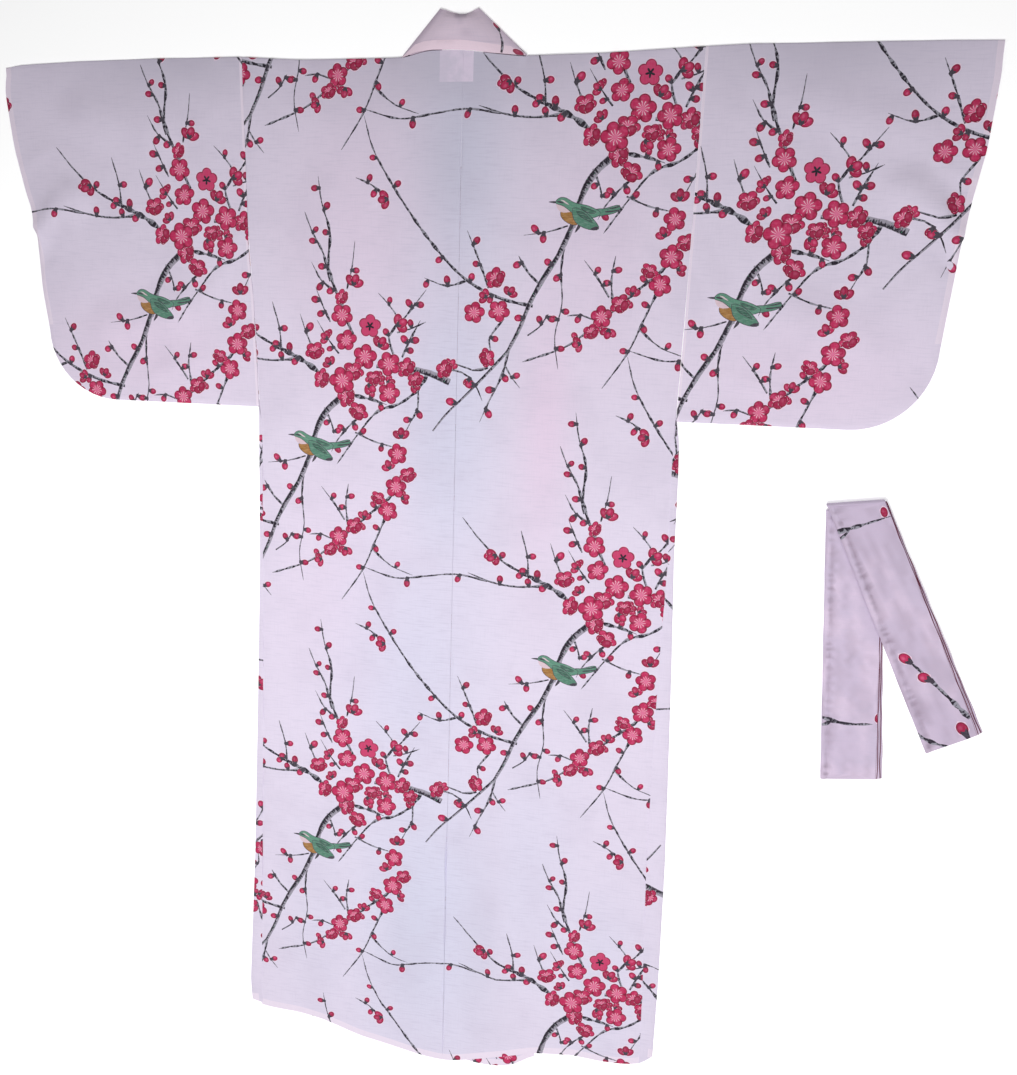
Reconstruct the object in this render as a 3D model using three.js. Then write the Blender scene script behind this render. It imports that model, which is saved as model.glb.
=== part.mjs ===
import * as THREE from 'three';

// A yukata laid out face down on a floor, with its folded tie belt beside it.
// All sizes are in millimetres. While it is laid out, x runs to the right, y runs towards the
// collar and z is up, with zero on the floor under the middle of the back neck, on the shoulder
// line. The last lines move the whole so that zero is the middle of the ground it covers.
// Each piece of cloth is a sheet of points along the middle of its wall, thickened to a solid.

// Cloth wall, the gap at a seam or between layers, and the step from one layer to the next.
const WALL = 1.0;
const GAP = 0.3;
const LAYER = WALL + GAP;

// Body: half the neck, the end of the armhole seam, the last row of points above the hem, and a
// column of points halfway between the overlap and the side.
const NECK_HALF = 85;
const ARMHOLE_END = -252;
const LAST_ROW = -1435;
const OUTER_COLUMN = 250;

// The front overlap lifts what lies on it, fully out to the first width and not past the second.
// Towards the shoulder fold the layers part instead, from the lower height to the upper one.
const LIFT_FLAT = 192;
const LIFT_END = 208;
const LIFT_START_Y = -70;
const LIFT_FULL_Y = -120;

// The least width of a front's side strip that is made as a strip of its own.
const LEAST_STRIP = 3;

// Collar and gusset: width of the folded band, where it ends, the length of seam that gives its
// direction at a place, and the gusset's width.
const COLLAR_WIDTH = 54;
const SEAM_STEP = 20;
const COLLAR_END = -810;
const GUSSET_TOP_WIDTH = 135;
const GUSSET_HEM_WIDTH = 150;

// Sleeves: columns of cloth from the armhole to the cuff, and how far from the armhole the raised
// layers of the shoulder fade out.
const SLEEVE_COLUMNS = 8;
const SLEEVE_FADE = 90;

// Neck label, seen through the cloth.
const LABEL = { left: -32, right: 14, top: 4, bottom: -30 };

// Belt: width and thickness of the folded stack, how many layers show along its open edge, the
// depth of the grooves between them, and how far its round fold swells.
const BELT_WIDTH = 70;
const BELT_STACK = 5.0;
const BELT_LAYERS = 4;
const BELT_GROOVE = 2.0;
const BELT_SWELL = 1.2;
const BELT_LAYER_EDGE = 0.08;

// Side of each body half: x of the back's edge, and x of the fold where the front wraps round it.
const SIDES = {
  left: [
    { y: 0, seam: 314, fold: 314 },
    { y: -182, seam: 311, fold: 311 },
    { y: -252, seam: 309, fold: 309 },
    { y: -320, seam: 303.4, fold: 303.4 },
    { y: -464, seam: 298, fold: 298 },
    { y: -508, seam: 294, fold: 298.5 },
    { y: -706, seam: 297, fold: 301 },
    { y: -932, seam: 301, fold: 309 },
    { y: -1190, seam: 307, fold: 319 },
    { y: -1429, seam: 313, fold: 332 },
    { y: -1480, seam: 314, fold: 329 },
  ],
  right: [
    { y: 0, seam: 315, fold: 315 },
    { y: -177, seam: 313, fold: 313 },
    { y: -252, seam: 312, fold: 312 },
    { y: -320, seam: 310.8, fold: 310.8 },
    { y: -464, seam: 307.8, fold: 307.8 },
    { y: -491, seam: 307, fold: 313 },
    { y: -533, seam: 307, fold: 315 },
    { y: -660, seam: 310, fold: 317 },
    { y: -826, seam: 307, fold: 324 },
    { y: -1001, seam: 307, fold: 330 },
    { y: -1137, seam: 308, fold: 334 },
    { y: -1326, seam: 314, fold: 336 },
    { y: -1480, seam: 317, fold: 335 },
  ],
};

// Top of the back from side to side: the shoulder line, raised a little at the neck.
const SHOULDER = [
  { x: -314, y: 4 },
  { x: -230, y: -1 },
  { x: -NECK_HALF, y: -0.5 },
  { x: -50, y: 9 },
  { x: 0, y: 9 },
  { x: 40, y: 4 },
  { x: NECK_HALF, y: -0.5 },
  { x: 180, y: 1 },
  { x: 315, y: 7 },
];

// Hems, as they lie: the back's, and the two fronts' under it.
const BACK_HEM = [
  { x: -320, y: -1471 },
  { x: -300, y: -1475 },
  { x: -250, y: -1476 },
  { x: -194, y: -1484 },
  { x: -142, y: -1500 },
  { x: -90, y: -1509 },
  { x: -39, y: -1519 },
  { x: 5, y: -1521 },
  { x: 37, y: -1514 },
  { x: 93, y: -1499 },
  { x: 150, y: -1481 },
  { x: 208, y: -1474 },
  { x: 255, y: -1477 },
  { x: 300, y: -1475 },
  { x: 320, y: -1468 },
];
const FRONT_HEM = {
  left: [
    { x: -331, y: -1465 },
    { x: -250, y: -1469 },
    { x: -142, y: -1488 },
    { x: 0, y: -1508 },
    { x: 55, y: -1519 },
    { x: 90, y: -1518 },
    { x: 115, y: -1512 },
    { x: 152, y: -1486 },
  ],
  right: [
    { x: -152, y: -1484 },
    { x: 0, y: -1502 },
    { x: 60, y: -1494 },
    { x: 150, y: -1472 },
    { x: 300, y: -1468 },
    { x: 335, y: -1452 },
  ],
};

// Seam of the collar on the front, from the neck to the end of the band; x is towards the
// other front, past the middle.
const COLLAR_SEAM = [
  { y: 0, x: -85 },
  { y: -60, x: -78 },
  { y: -120, x: -63 },
  { y: -180, x: -44 },
  { y: -240, x: -22 },
  { y: -295, x: 0 },
  { y: -400, x: 40 },
  { y: -520, x: 78 },
  { y: -660, x: 110 },
  { y: COLLAR_END, x: GUSSET_TOP_WIDTH },
];

// Collar behind the neck, from one crease to the other: the seam's point, the top edge's point,
// and how far the band swells off the floor there.
const COLLAR_BACK = [
  { seamX: -83.4, seamY: 1.2, topX: -31.5, topY: 59.5, swell: 0 },
  { seamX: -66, seamY: 7.5, topX: -26, topY: 58.5, swell: 2 },
  { seamX: -44, seamY: 10, topX: -18, topY: 56, swell: 5 },
  { seamX: -15, seamY: 10, topX: -7, topY: 53.5, swell: 7 },
  { seamX: 12, seamY: 8.5, topX: 2, topY: 53.5, swell: 7 },
  { seamX: 36, seamY: 5.2, topX: 9, topY: 55.5, swell: 5 },
  { seamX: 62, seamY: 3, topX: 13.5, topY: 57.5, swell: 2 },
  { seamX: 83.8, seamY: 1.2, topX: 18, topY: 59, swell: 0 },
];

// Sleeves: inner edge and cuff by height, the top line, and the round corner at the bottom.
const SLEEVES = {
  left: {
    inner: [
      { y: 8, x: 314.4 },
      { y: -182, x: 311.4 },
      { y: -252, x: 310.6 },
      { y: -320, x: 304.5 },
      { y: -474, x: 299 },
    ],
    cuff: [
      { y: 8, x: 675 },
      { y: -33, x: 684 },
      { y: -60, x: 681 },
      { y: -115, x: 674 },
      { y: -171, x: 661 },
      { y: -200, x: 652 },
      { y: -228, x: 647 },
      { y: -315, x: 643 },
      { y: -373, x: 635 },
      { y: -474, x: 635 },
    ],
    top: [
      { x: 314, y: 4 },
      { x: 440, y: 4 },
      { x: 565, y: 2 },
      { x: 660, y: -2 },
      { x: 675, y: -5 },
    ],
    rows: [-45, -90, -135, -180, -228, -275, -322, -373, -403, -430, -452, -466],
    bottom: -473.5,
    openTo: -228,
    corner: { y: -373, across: 106 },
  },
  right: {
    inner: [
      { y: 8, x: 315.4 },
      { y: -177, x: 313.4 },
      { y: -252, x: 312.4 },
      { y: -344, x: 311.4 },
      { y: -467, x: 308.6 },
    ],
    cuff: [
      { y: 8, x: 667 },
      { y: -24, x: 670 },
      { y: -69, x: 667 },
      { y: -115, x: 664 },
      { y: -162, x: 656 },
      { y: -210, x: 649 },
      { y: -259, x: 645 },
      { y: -359, x: 637 },
      { y: -467, x: 637 },
    ],
    top: [
      { x: 315, y: 7 },
      { x: 370, y: 9 },
      { x: 607, y: 9 },
      { x: 667, y: 8 },
    ],
    rows: [-42, -86, -130, -172, -220, -268, -314, -359, -390, -418, -442, -458],
    bottom: -466.5,
    openTo: -220,
    corner: { y: -359, across: 104 },
  },
};

// Soft folds in the upper cloth: the line each runs along, its height and its half width. A fold
// keeps its height along FOLD_LEVEL of its length each way and dies out over FOLD_ENDING.
const FOLD_LEVEL = 0.35;
const FOLD_ENDING = 0.3;
const FOLDS = [
  { x1: -10, y1: -1120, x2: -95, y2: -1430, height: 5, width: 62 },
  { x1: 128, y1: -1130, x2: 62, y2: -1450, height: 6, width: 58 },
  { x1: 215, y1: -1210, x2: 235, y2: -1445, height: 4, width: 50 },
  { x1: -230, y1: -1160, x2: -205, y2: -1440, height: 4, width: 55 },
  { x1: 60, y1: -420, x2: 72, y2: -800, height: 4, width: 60 },
  { x1: -70, y1: -520, x2: -55, y2: -900, height: 3, width: 64 },
  { x1: 190, y1: -120, x2: 205, y2: -420, height: 3, width: 52 },
  { x1: -200, y1: -150, x2: -215, y2: -520, height: 3, width: 55 },
  { x1: 20, y1: -60, x2: 45, y2: -330, height: 3, width: 50 },
  { x1: 185, y1: -760, x2: 172, y2: -1050, height: 3, width: 55 },
  { x1: -190, y1: -700, x2: -175, y2: -1010, height: 3, width: 55 },
  { x1: 560, y1: -150, x2: 648, y2: -232, height: 6, width: 44 },
  { x1: 430, y1: -60, x2: 600, y2: -95, height: 3, width: 48 },
  { x1: 410, y1: -300, x2: 560, y2: -360, height: 4, width: 52 },
  { x1: -570, y1: -168, x2: -650, y2: -246, height: 6, width: 44 },
  { x1: -400, y1: -90, x2: -590, y2: -70, height: 3, width: 50 },
  { x1: -390, y1: -330, x2: -560, y2: -370, height: 4, width: 52 },
];

// Belt: left and right edge of each run from its top to its bottom, and how far the lower
// layers spread past the upper one at the top and at the bottom.
const BELT_RUNS = {
  under: {
    left: { top: [516, -575], bottom: [544, -961] },
    right: { top: [588, -566], bottom: [618, -953] },
    spread: { top: 1, bottom: 9 },
  },
  over: {
    left: { top: [516, -568], bottom: [680, -907] },
    right: { top: [589, -558], bottom: [743, -873] },
    spread: { top: 2.5, bottom: 8 },
  },
};

const PALE_CLOTH = { color: 0xe7dbe6, roughness: 0.92, metalness: 0 };
const COLLAR_CLOTH = { color: 0xdfcfdc, roughness: 0.92, metalness: 0 };
const BELT_CLOTH = { color: 0xd3c2d6, roughness: 0.92, metalness: 0 };
const LABEL_CLOTH = { color: 0xf0e6f2, roughness: 0.85, metalness: 0 };

// Height of the middle of the wall in a layer; layer 0 lies on the floor.
function level(layer) {
  return WALL / 2 + layer * LAYER;
}

// Value of one column of a table at a place along its key column, straight between its rows.
function lookUp(table, key, place, column) {
  const rows = [...table].sort((a, b) => a[key] - b[key]);
  if (place <= rows[0][key]) return rows[0][column];
  for (let i = 1; i < rows.length; i += 1) {
    const [low, high] = [rows[i - 1], rows[i]];
    if (place <= high[key]) {
      const share = (place - low[key]) / (high[key] - low[key]);
      return THREE.MathUtils.lerp(low[column], high[column], share);
    }
  }
  return rows[rows.length - 1][column];
}

function spreadEvenly(start, end, steps) {
  return Array.from({ length: steps }, (_, i) => start + ((end - start) * (i + 1)) / steps);
}

// Height that the soft folds add at a place.
function foldHeight(x, y) {
  let height = 0;
  for (const fold of FOLDS) {
    const run = new THREE.Vector2(fold.x2 - fold.x1, fold.y2 - fold.y1);
    const from = new THREE.Vector2(x - fold.x1, y - fold.y1);
    const share = from.dot(run) / run.lengthSq();
    const aside = Math.abs(from.cross(run)) / run.length();
    const past = Math.max(0, Math.abs(share - 0.5) - FOLD_LEVEL) / FOLD_ENDING;
    if (aside < fold.width && past < 1) {
      const across = 0.5 + 0.5 * Math.cos((Math.PI * aside) / fold.width);
      const ending = 0.5 + 0.5 * Math.cos(Math.PI * past);
      height += fold.height * across * ending;
    }
  }
  return height;
}

// A piece of cloth: points on the middle of its wall, each with the offset to its outer face in
// half walls, joined by four-sided cells that run anticlockwise as seen from the outer face.
class Sheet {
  constructor(mirrored = false) {
    this.points = [];
    this.cells = [];
    this.mirrored = mirrored;
  }

  point(x, y, z, out = [0, 0, 1]) {
    this.points.push({ at: [x, y, z], out });
    return this.points.length - 1;
  }

  cell(a, b, c, d) {
    this.cells.push(this.mirrored ? [d, c, b, a] : [a, b, c, d]);
  }

  // Cells between lines of points, seen from above with the lines running towards -y.
  faceUp(lines) {
    for (let i = 0; i + 1 < lines.length; i += 1) {
      for (let j = 0; j + 1 < lines[i].length; j += 1) {
        this.cell(lines[i + 1][j], lines[i + 1][j + 1], lines[i][j + 1], lines[i][j]);
      }
    }
  }

  faceDown(lines) {
    for (let i = 0; i + 1 < lines.length; i += 1) {
      for (let j = 0; j + 1 < lines[i].length; j += 1) {
        this.cell(lines[i][j], lines[i][j + 1], lines[i + 1][j + 1], lines[i + 1][j]);
      }
    }
  }

  // The wall as a closed solid: outer face, inner face, and a rim along every free edge.
  geometry() {
    const count = this.points.length;
    const positions = [];
    for (const side of [1, -1]) {
      for (const { at, out } of this.points) {
        at.forEach((value, axis) => positions.push(value + (side * out[axis] * WALL) / 2));
      }
    }
    const used = new Set();
    for (const cell of this.cells) {
      cell.forEach((from, k) => used.add(`${from}>${cell[(k + 1) % cell.length]}`));
    }
    const index = [];
    for (const [a, b, c, d] of this.cells) {
      index.push(a, b, c, a, c, d);
      index.push(c + count, b + count, a + count, d + count, c + count, a + count);
    }
    for (const edge of used) {
      const [a, b] = edge.split('>').map(Number);
      if (!used.has(`${b}>${a}`)) index.push(b, a, a + count, b, a + count, b + count);
    }
    const geometry = new THREE.BufferGeometry();
    geometry.setAttribute('position', new THREE.Float32BufferAttribute(positions, 3));
    geometry.setIndex(index);
    return geometry.toNonIndexed();
  }
}

function piece(name, geometry, look) {
  geometry.computeVertexNormals();
  const mesh = new THREE.Mesh(geometry, new THREE.MeshStandardMaterial(look));
  mesh.name = name;
  return mesh;
}

// How far the front overlap lifts the cloth over it, from 0 to 1, by distance from the middle.
function overlapLift(fromMiddle) {
  return THREE.MathUtils.clamp((LIFT_END - fromMiddle) / (LIFT_END - LIFT_FLAT), 0, 1);
}

// 1 along the shoulder fold, where the layers stand clear of each other, 0 lower down.
function shoulderLift(y) {
  return THREE.MathUtils.clamp((y - LIFT_FULL_Y) / (LIFT_START_Y - LIFT_FULL_Y), 0, 1);
}

const BODY_ROWS = [
  0, -35, LIFT_START_Y, LIFT_FULL_Y, -165, -210, ARMHOLE_END,
  ...spreadEvenly(ARMHOLE_END, COLLAR_END, 10),
  ...spreadEvenly(COLLAR_END, LAST_ROW, 11),
];
const GUSSET_FIRST_ROW = 7;
const COLLAR_ROWS = BODY_ROWS.filter((y) => y < 0 && y >= COLLAR_END - 0.01);

// Layer of a front piece: the right front lies over the left one where they overlap.
function frontLayer(side, fromMiddle, y) {
  return side === 'right' ? overlapLift(fromMiddle) * (1 - shoulderLift(y)) : 0;
}

// One body half: the back, folded over the shoulder to the front, whose side wraps round onto
// the back as a narrow strip that ends at the side seam.
function bodyHalf(side) {
  const sign = side === 'left' ? -1 : 1;
  const sheet = new Sheet(side === 'left');
  const sides = SIDES[side];
  const rows = [...BODY_ROWS, null];
  const rowY = (row, x, hem) => (row === null ? lookUp(hem, 'x', x, 'y') : row);
  const innerFront = (y) => Math.max(GAP / 2, -lookUp(COLLAR_SEAM, 'y', y, 'x'));
  const shareOut = (inner, edge) => [
    ...[0, 1, 2, 3, 4].map((k) => THREE.MathUtils.lerp(inner, LIFT_FLAT, k / 4)),
    LIFT_END, OUTER_COLUMN, edge,
  ];

  const back = rows.map((row) => {
    const edge = lookUp(sides, 'y', row === null ? LAST_ROW : row, 'seam');
    const columns = [GAP / 2, NECK_HALF / 2, ...shareOut(NECK_HALF, edge)];
    return columns.map((u) => {
      const x = sign * u;
      const y = row === 0 ? lookUp(SHOULDER, 'x', x, 'y') : rowY(row, x, BACK_HEM);
      const layer = 1 + Math.max(overlapLift(u), shoulderLift(y));
      const folded = row === 0 && u >= NECK_HALF;
      return sheet.point(x, y, level(layer) + foldHeight(x, y), folded ? [0, 1, 1] : [0, 0, 1]);
    });
  });
  sheet.faceUp(back);

  const front = rows.map((row) => {
    const sideY = row === null ? LAST_ROW : row;
    const fold = lookUp(sides, 'y', sideY, 'fold');
    const seam = lookUp(sides, 'y', sideY, 'seam');
    const wraps = fold - seam > LEAST_STRIP;
    const edge = wraps ? fold - WALL / 2 - LAYER / 2 : seam;
    const columns = shareOut(innerFront(sideY), edge);
    const hem = FRONT_HEM[side];
    const line = columns.map((u) => {
      const x = sign * u;
      const y = row === 0 ? lookUp(SHOULDER, 'x', x, 'y') : rowY(row, x, hem);
      return sheet.point(x, y, level(frontLayer(side, u, y)), [0, row === 0 ? 1 : 0, -1]);
    });
    const y = rowY(row, sign * edge, hem);
    const strip = wraps && [
      line[line.length - 1],
      sheet.point(sign * (fold - WALL / 2), y, level(0.5), [sign, 0, 0]),
      sheet.point(sign * edge, y, level(1)),
      sheet.point(sign * (seam + GAP), y, level(1)),
    ];
    return { line, strip };
  });
  sheet.faceDown(front.map(({ line }) => line));
  sheet.faceDown(front.filter(({ strip }) => strip).map(({ strip }) => strip));

  const top = back[0].slice(2);
  sheet.faceUp([front[0].line, top]);
  return piece(`body_${side}`, sheet.geometry(), PALE_CLOTH);
}

// Front overlap strip: straight along the front panel, cut slantwise under the collar.
function gusset(side) {
  const sign = side === 'left' ? 1 : -1;
  const sheet = new Sheet(side === 'right');
  const rows = [...BODY_ROWS.slice(GUSSET_FIRST_ROW), null];
  const lines = rows.map((row) => {
    const sideY = row === null ? LAST_ROW : row;
    const below = (COLLAR_END - sideY) / (COLLAR_END - LAST_ROW);
    const free = THREE.MathUtils.lerp(GUSSET_TOP_WIDTH, GUSSET_HEM_WIDTH, Math.max(0, below));
    const outer = Math.min(free, lookUp(COLLAR_SEAM, 'y', sideY, 'x') - GAP / 2);
    const edge = sideY > COLLAR_END ? outer : free;
    return [0, 1, 2, 3].map((k) => {
      const x = sign * THREE.MathUtils.lerp(GAP / 2, edge, k / 3);
      const y = row === null ? lookUp(FRONT_HEM[side], 'x', x, 'y') : row;
      return sheet.point(x, y, level(side === 'right' ? 1 : 0), [0, 0, -1]);
    });
  });
  sheet.faceDown(lines);
  return piece(`gusset_${side}`, sheet.geometry(), PALE_CLOTH);
}

// Points across the band, from the seam to the outer edge, and their shares of its swelling.
const BAND_SHARES = [0, 0.35, 0.7, 1];
const BAND_SWELL = [0, 0.7, 1, 0.1];
const CREASE_ANGLES = [-90, -30, 30, 90];

// Collar: one band from the end on the left front up to the neck, over a crease, round the
// back neck, over the other crease and down the right front.
function collar() {
  const sheet = new Sheet();
  const bandLine = (seam, outer, height, out, swell = 0) => BAND_SHARES.map((share, k) => {
    const x = THREE.MathUtils.lerp(seam[0], outer[0], share);
    const y = THREE.MathUtils.lerp(seam[1], outer[1], share);
    return sheet.point(x, y, height + swell * BAND_SWELL[k], out);
  });

  const frontLines = (side) => {
    const sign = side === 'left' ? 1 : -1;
    return COLLAR_ROWS.map((y) => {
      const x = lookUp(COLLAR_SEAM, 'y', y, 'x');
      const nearby = lookUp(COLLAR_SEAM, 'y', y + SEAM_STEP, 'x');
      const normal = new THREE.Vector2(SEAM_STEP, x - nearby).normalize();
      const seam = [sign * (x + GAP), y];
      const outer = [
        sign * (x + GAP + COLLAR_WIDTH * normal.x),
        y + COLLAR_WIDTH * normal.y,
      ];
      const layer = side === 'right' ? 1 - shoulderLift(y) : 0;
      return bandLine(seam, outer, level(layer), [0, 0, -1]);
    });
  };

  // The crease turns the band over about the line from the neck to the top edge.
  const crease = (row) => {
    const seam = [row.seamX, row.seamY];
    const outer = [row.topX, row.topY];
    const side = Math.sign(row.seamX);
    const across = new THREE.Vector2(outer[1] - seam[1], seam[0] - outer[0]).normalize();
    if (across.x * side < 0) across.negate();
    return CREASE_ANGLES.map((degrees) => {
      const angle = THREE.MathUtils.degToRad(side < 0 ? degrees : -degrees);
      const reach = Math.cos(angle);
      const out = [across.x * reach, across.y * reach, Math.sin(angle)];
      const shift = [across.x * reach * LAYER, across.y * reach * LAYER];
      const height = level(1) + LAYER * Math.sin(angle);
      const moved = (p) => [p[0] + shift[0], p[1] + shift[1]];
      return bandLine(moved(seam), moved(outer), height, out);
    });
  };

  const behindNeck = COLLAR_BACK.slice(1, -1).map((row) => (
    bandLine([row.seamX, row.seamY], [row.topX, row.topY], level(2), [0, 0, 1], row.swell)
  ));
  const lines = [
    ...frontLines('left').reverse(),
    ...crease(COLLAR_BACK[0]),
    ...behindNeck,
    ...crease(COLLAR_BACK[COLLAR_BACK.length - 1]),
    ...frontLines('right'),
  ];
  for (let i = 0; i + 1 < lines.length; i += 1) {
    for (let k = 0; k + 1 < BAND_SHARES.length; k += 1) {
      sheet.cell(lines[i][k], lines[i + 1][k], lines[i + 1][k + 1], lines[i][k + 1]);
    }
  }
  return piece('collar', sheet.geometry(), COLLAR_CLOTH);
}

// Sleeve: two layers of cloth joined along the top fold, the bottom, the round corner and the
// lower part of the cuff.
function sleeve(side) {
  const sign = side === 'left' ? -1 : 1;
  const { inner, cuff, top, rows, bottom, openTo, corner } = SLEEVES[side];
  const sheet = new Sheet(side === 'left');
  const heights = [null, ...rows, bottom];
  const last = heights.length - 1;
  const cornerRise = corner.y - bottom;

  const layerPoints = (isBack) => heights.map((row, i) => {
    const y0 = row === null ? 0 : row;
    const inCorner = THREE.MathUtils.clamp((corner.y - y0) / cornerRise, 0, 1);
    const rounding = corner.across * (1 - Math.sqrt(1 - inCorner * inCorner));
    const from = lookUp(inner, 'y', y0, 'x');
    const to = lookUp(cuff, 'y', y0, 'x') - rounding;
    const turned = new THREE.Vector2(Math.sqrt(1 - inCorner * inCorner), -inCorner);
    return Array.from({ length: SLEEVE_COLUMNS + 1 }, (_, j) => {
      const u = THREE.MathUtils.lerp(from, to, j / SLEEVE_COLUMNS);
      const y = row === null ? lookUp(top, 'x', u, 'y') : row;
      const out = [0, 0, isBack ? 1 : -1];
      if (i === 0) out[1] = 1;
      else if (i === last) out[1] = -1;
      else if (j === SLEEVE_COLUMNS && row < openTo) {
        out[0] = sign * turned.x;
        out[1] = turned.y;
      }
      const nearBody = Math.max(0, 1 - (u - from) / SLEEVE_FADE);
      const layer = isBack ? 1 + shoulderLift(y) * nearBody : 0;
      const lift = isBack && j > 0 && i < last ? foldHeight(sign * u, y) : 0;
      return sheet.point(sign * u, y, level(layer) + lift, out);
    });
  });

  const back = layerPoints(true);
  const front = layerPoints(false);
  sheet.faceUp(back);
  sheet.faceDown(front);
  sheet.faceUp([front[0], back[0]]);
  sheet.faceUp([back[last], front[last]]);
  for (let i = 0; i < last; i += 1) {
    const opened = heights[i] === null || heights[i] > openTo;
    const [upperBack, lowerBack] = [back[i], back[i + 1]].map((line) => line[SLEEVE_COLUMNS]);
    const [upperFront, lowerFront] = [front[i], front[i + 1]].map((line) => line[SLEEVE_COLUMNS]);
    if (!opened) sheet.cell(upperBack, lowerBack, lowerFront, upperFront);
  }
  return piece(`sleeve_${side}`, sheet.geometry(), PALE_CLOTH);
}

// Blank label on the inside of the back neck, one layer under the back.
function neckLabel() {
  const width = LABEL.right - LABEL.left;
  const height = LABEL.top - LABEL.bottom;
  const geometry = new THREE.BoxGeometry(width, height, WALL);
  const mesh = piece('neck_label', geometry, LABEL_CLOTH);
  mesh.position.set((LABEL.left + LABEL.right) / 2, (LABEL.top + LABEL.bottom) / 2, level(1));
  return mesh;
}

// Outline of the folded belt across its width: a round fold on the left, open layers that
// spread a little on the right. Each point has its share of the width, a reach past it, and
// its share of the stack's height.
function beltOutline(spread) {
  const outline = [{ share: 0, reach: BELT_SWELL, height: 0 }];
  for (let layer = 0; layer < BELT_LAYERS; layer += 1) {
    const reach = (spread * (BELT_LAYERS - 1 - layer)) / (BELT_LAYERS - 1);
    outline.push({ share: 1, reach, height: (layer + BELT_LAYER_EDGE) / BELT_LAYERS });
    outline.push({ share: 1, reach, height: (layer + 1 - BELT_LAYER_EDGE) / BELT_LAYERS });
    if (layer + 1 < BELT_LAYERS) {
      outline.push({ share: 1, reach: -BELT_GROOVE, height: (layer + 1) / BELT_LAYERS });
    }
  }
  outline[1].height = 0;
  outline[outline.length - 1].height = 1;
  outline.push({ share: 0, reach: BELT_SWELL, height: 1 });
  outline.push({ share: 0, reach: 0, height: 0.75 });
  outline.push({ share: 0, reach: 0, height: 0.25 });
  return outline;
}

// A run of the belt through stations from its top to its bottom; each station gives its place
// along the run and the height of the run's underside and top.
function beltRun(name, run, stations) {
  const positions = [];
  const index = [];
  let outlineCount = 0;
  for (const { share, under, over } of stations) {
    const spread = THREE.MathUtils.lerp(run.spread.top, run.spread.bottom, share);
    const left = new THREE.Vector2(...run.left.top).lerp(new THREE.Vector2(...run.left.bottom), share);
    const right = new THREE.Vector2(...run.right.top).lerp(new THREE.Vector2(...run.right.bottom), share);
    const across = right.clone().sub(left).normalize();
    const outline = beltOutline(spread);
    outlineCount = outline.length;
    for (const point of outline) {
      const at = left.clone().lerp(right, point.share).addScaledVector(across, point.reach);
      positions.push(at.x, at.y, THREE.MathUtils.lerp(under, over, point.height));
    }
  }
  for (let i = 0; i + 1 < stations.length; i += 1) {
    for (let k = 0; k < outlineCount; k += 1) {
      const next = (k + 1) % outlineCount;
      const [a, b] = [i * outlineCount + k, i * outlineCount + next];
      const [c, d] = [b + outlineCount, a + outlineCount];
      index.push(a, b, c, a, c, d);
    }
  }
  const flat = beltOutline(run.spread.top).map(({ share, reach, height }) => (
    new THREE.Vector2(share * BELT_WIDTH + reach, height * BELT_STACK)
  ));
  const last = (stations.length - 1) * outlineCount;
  for (const [a, b, c] of THREE.ShapeUtils.triangulateShape(flat, [])) {
    index.push(c, b, a);
    index.push(last + a, last + b, last + c);
  }
  const geometry = new THREE.BufferGeometry();
  geometry.setAttribute('position', new THREE.Float32BufferAttribute(positions, 3));
  geometry.setIndex(index);
  return piece(name, geometry.toNonIndexed(), BELT_CLOTH);
}

// The run underneath lies flat on the floor.
function beltUnder() {
  const stations = [0, 0.2, 0.4, 0.6, 0.8, 1].map((share) => ({ share, under: 0, over: BELT_STACK }));
  return beltRun('belt_under_run', BELT_RUNS.under, stations);
}

// The run on top: the round fold at the belt's top reaches down to the floor, then the run lies
// raised on the other one, and comes down to the floor beside it.
const RAISED = BELT_STACK + GAP;
const FOLD_ROUNDING = 1.6;
const HALF_DOWN = 2.2;
const OVER_STATIONS = [
  { share: 0, under: FOLD_ROUNDING, over: RAISED + BELT_STACK - FOLD_ROUNDING },
  { share: 0.005, under: 0, over: RAISED + BELT_STACK },
  { share: 0.016, under: 0, over: RAISED + BELT_STACK },
  { share: 0.017, under: RAISED, over: RAISED + BELT_STACK },
  { share: 0.2, under: RAISED, over: RAISED + BELT_STACK },
  { share: 0.4, under: RAISED, over: RAISED + BELT_STACK },
  { share: 0.6, under: RAISED, over: RAISED + BELT_STACK },
  { share: 0.74, under: HALF_DOWN, over: HALF_DOWN + BELT_STACK },
  { share: 0.86, under: 0, over: BELT_STACK },
  { share: 1, under: 0, over: BELT_STACK },
];

function beltOver() {
  return beltRun('belt_over_run', BELT_RUNS.over, OVER_STATIONS);
}

const laidOut = new THREE.Group();
laidOut.add(
  bodyHalf('left'),
  bodyHalf('right'),
  gusset('left'),
  gusset('right'),
  collar(),
  sleeve('left'),
  sleeve('right'),
  neckLabel(),
  beltUnder(),
  beltOver(),
);

// Zero goes to the middle of the ground that the whole covers.
const covered = new THREE.Box3().setFromObject(laidOut);
laidOut.position.set(
  -(covered.min.x + covered.max.x) / 2,
  -(covered.min.y + covered.max.y) / 2,
  0,
);

const yukata = new THREE.Group();
yukata.add(laidOut);
export default yukata;
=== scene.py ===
import math
import random
from collections import namedtuple

import bpy
import numpy as np
from mathutils import Matrix, Vector, noise
from mathutils.geometry import delaunay_2d_cdt


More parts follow.
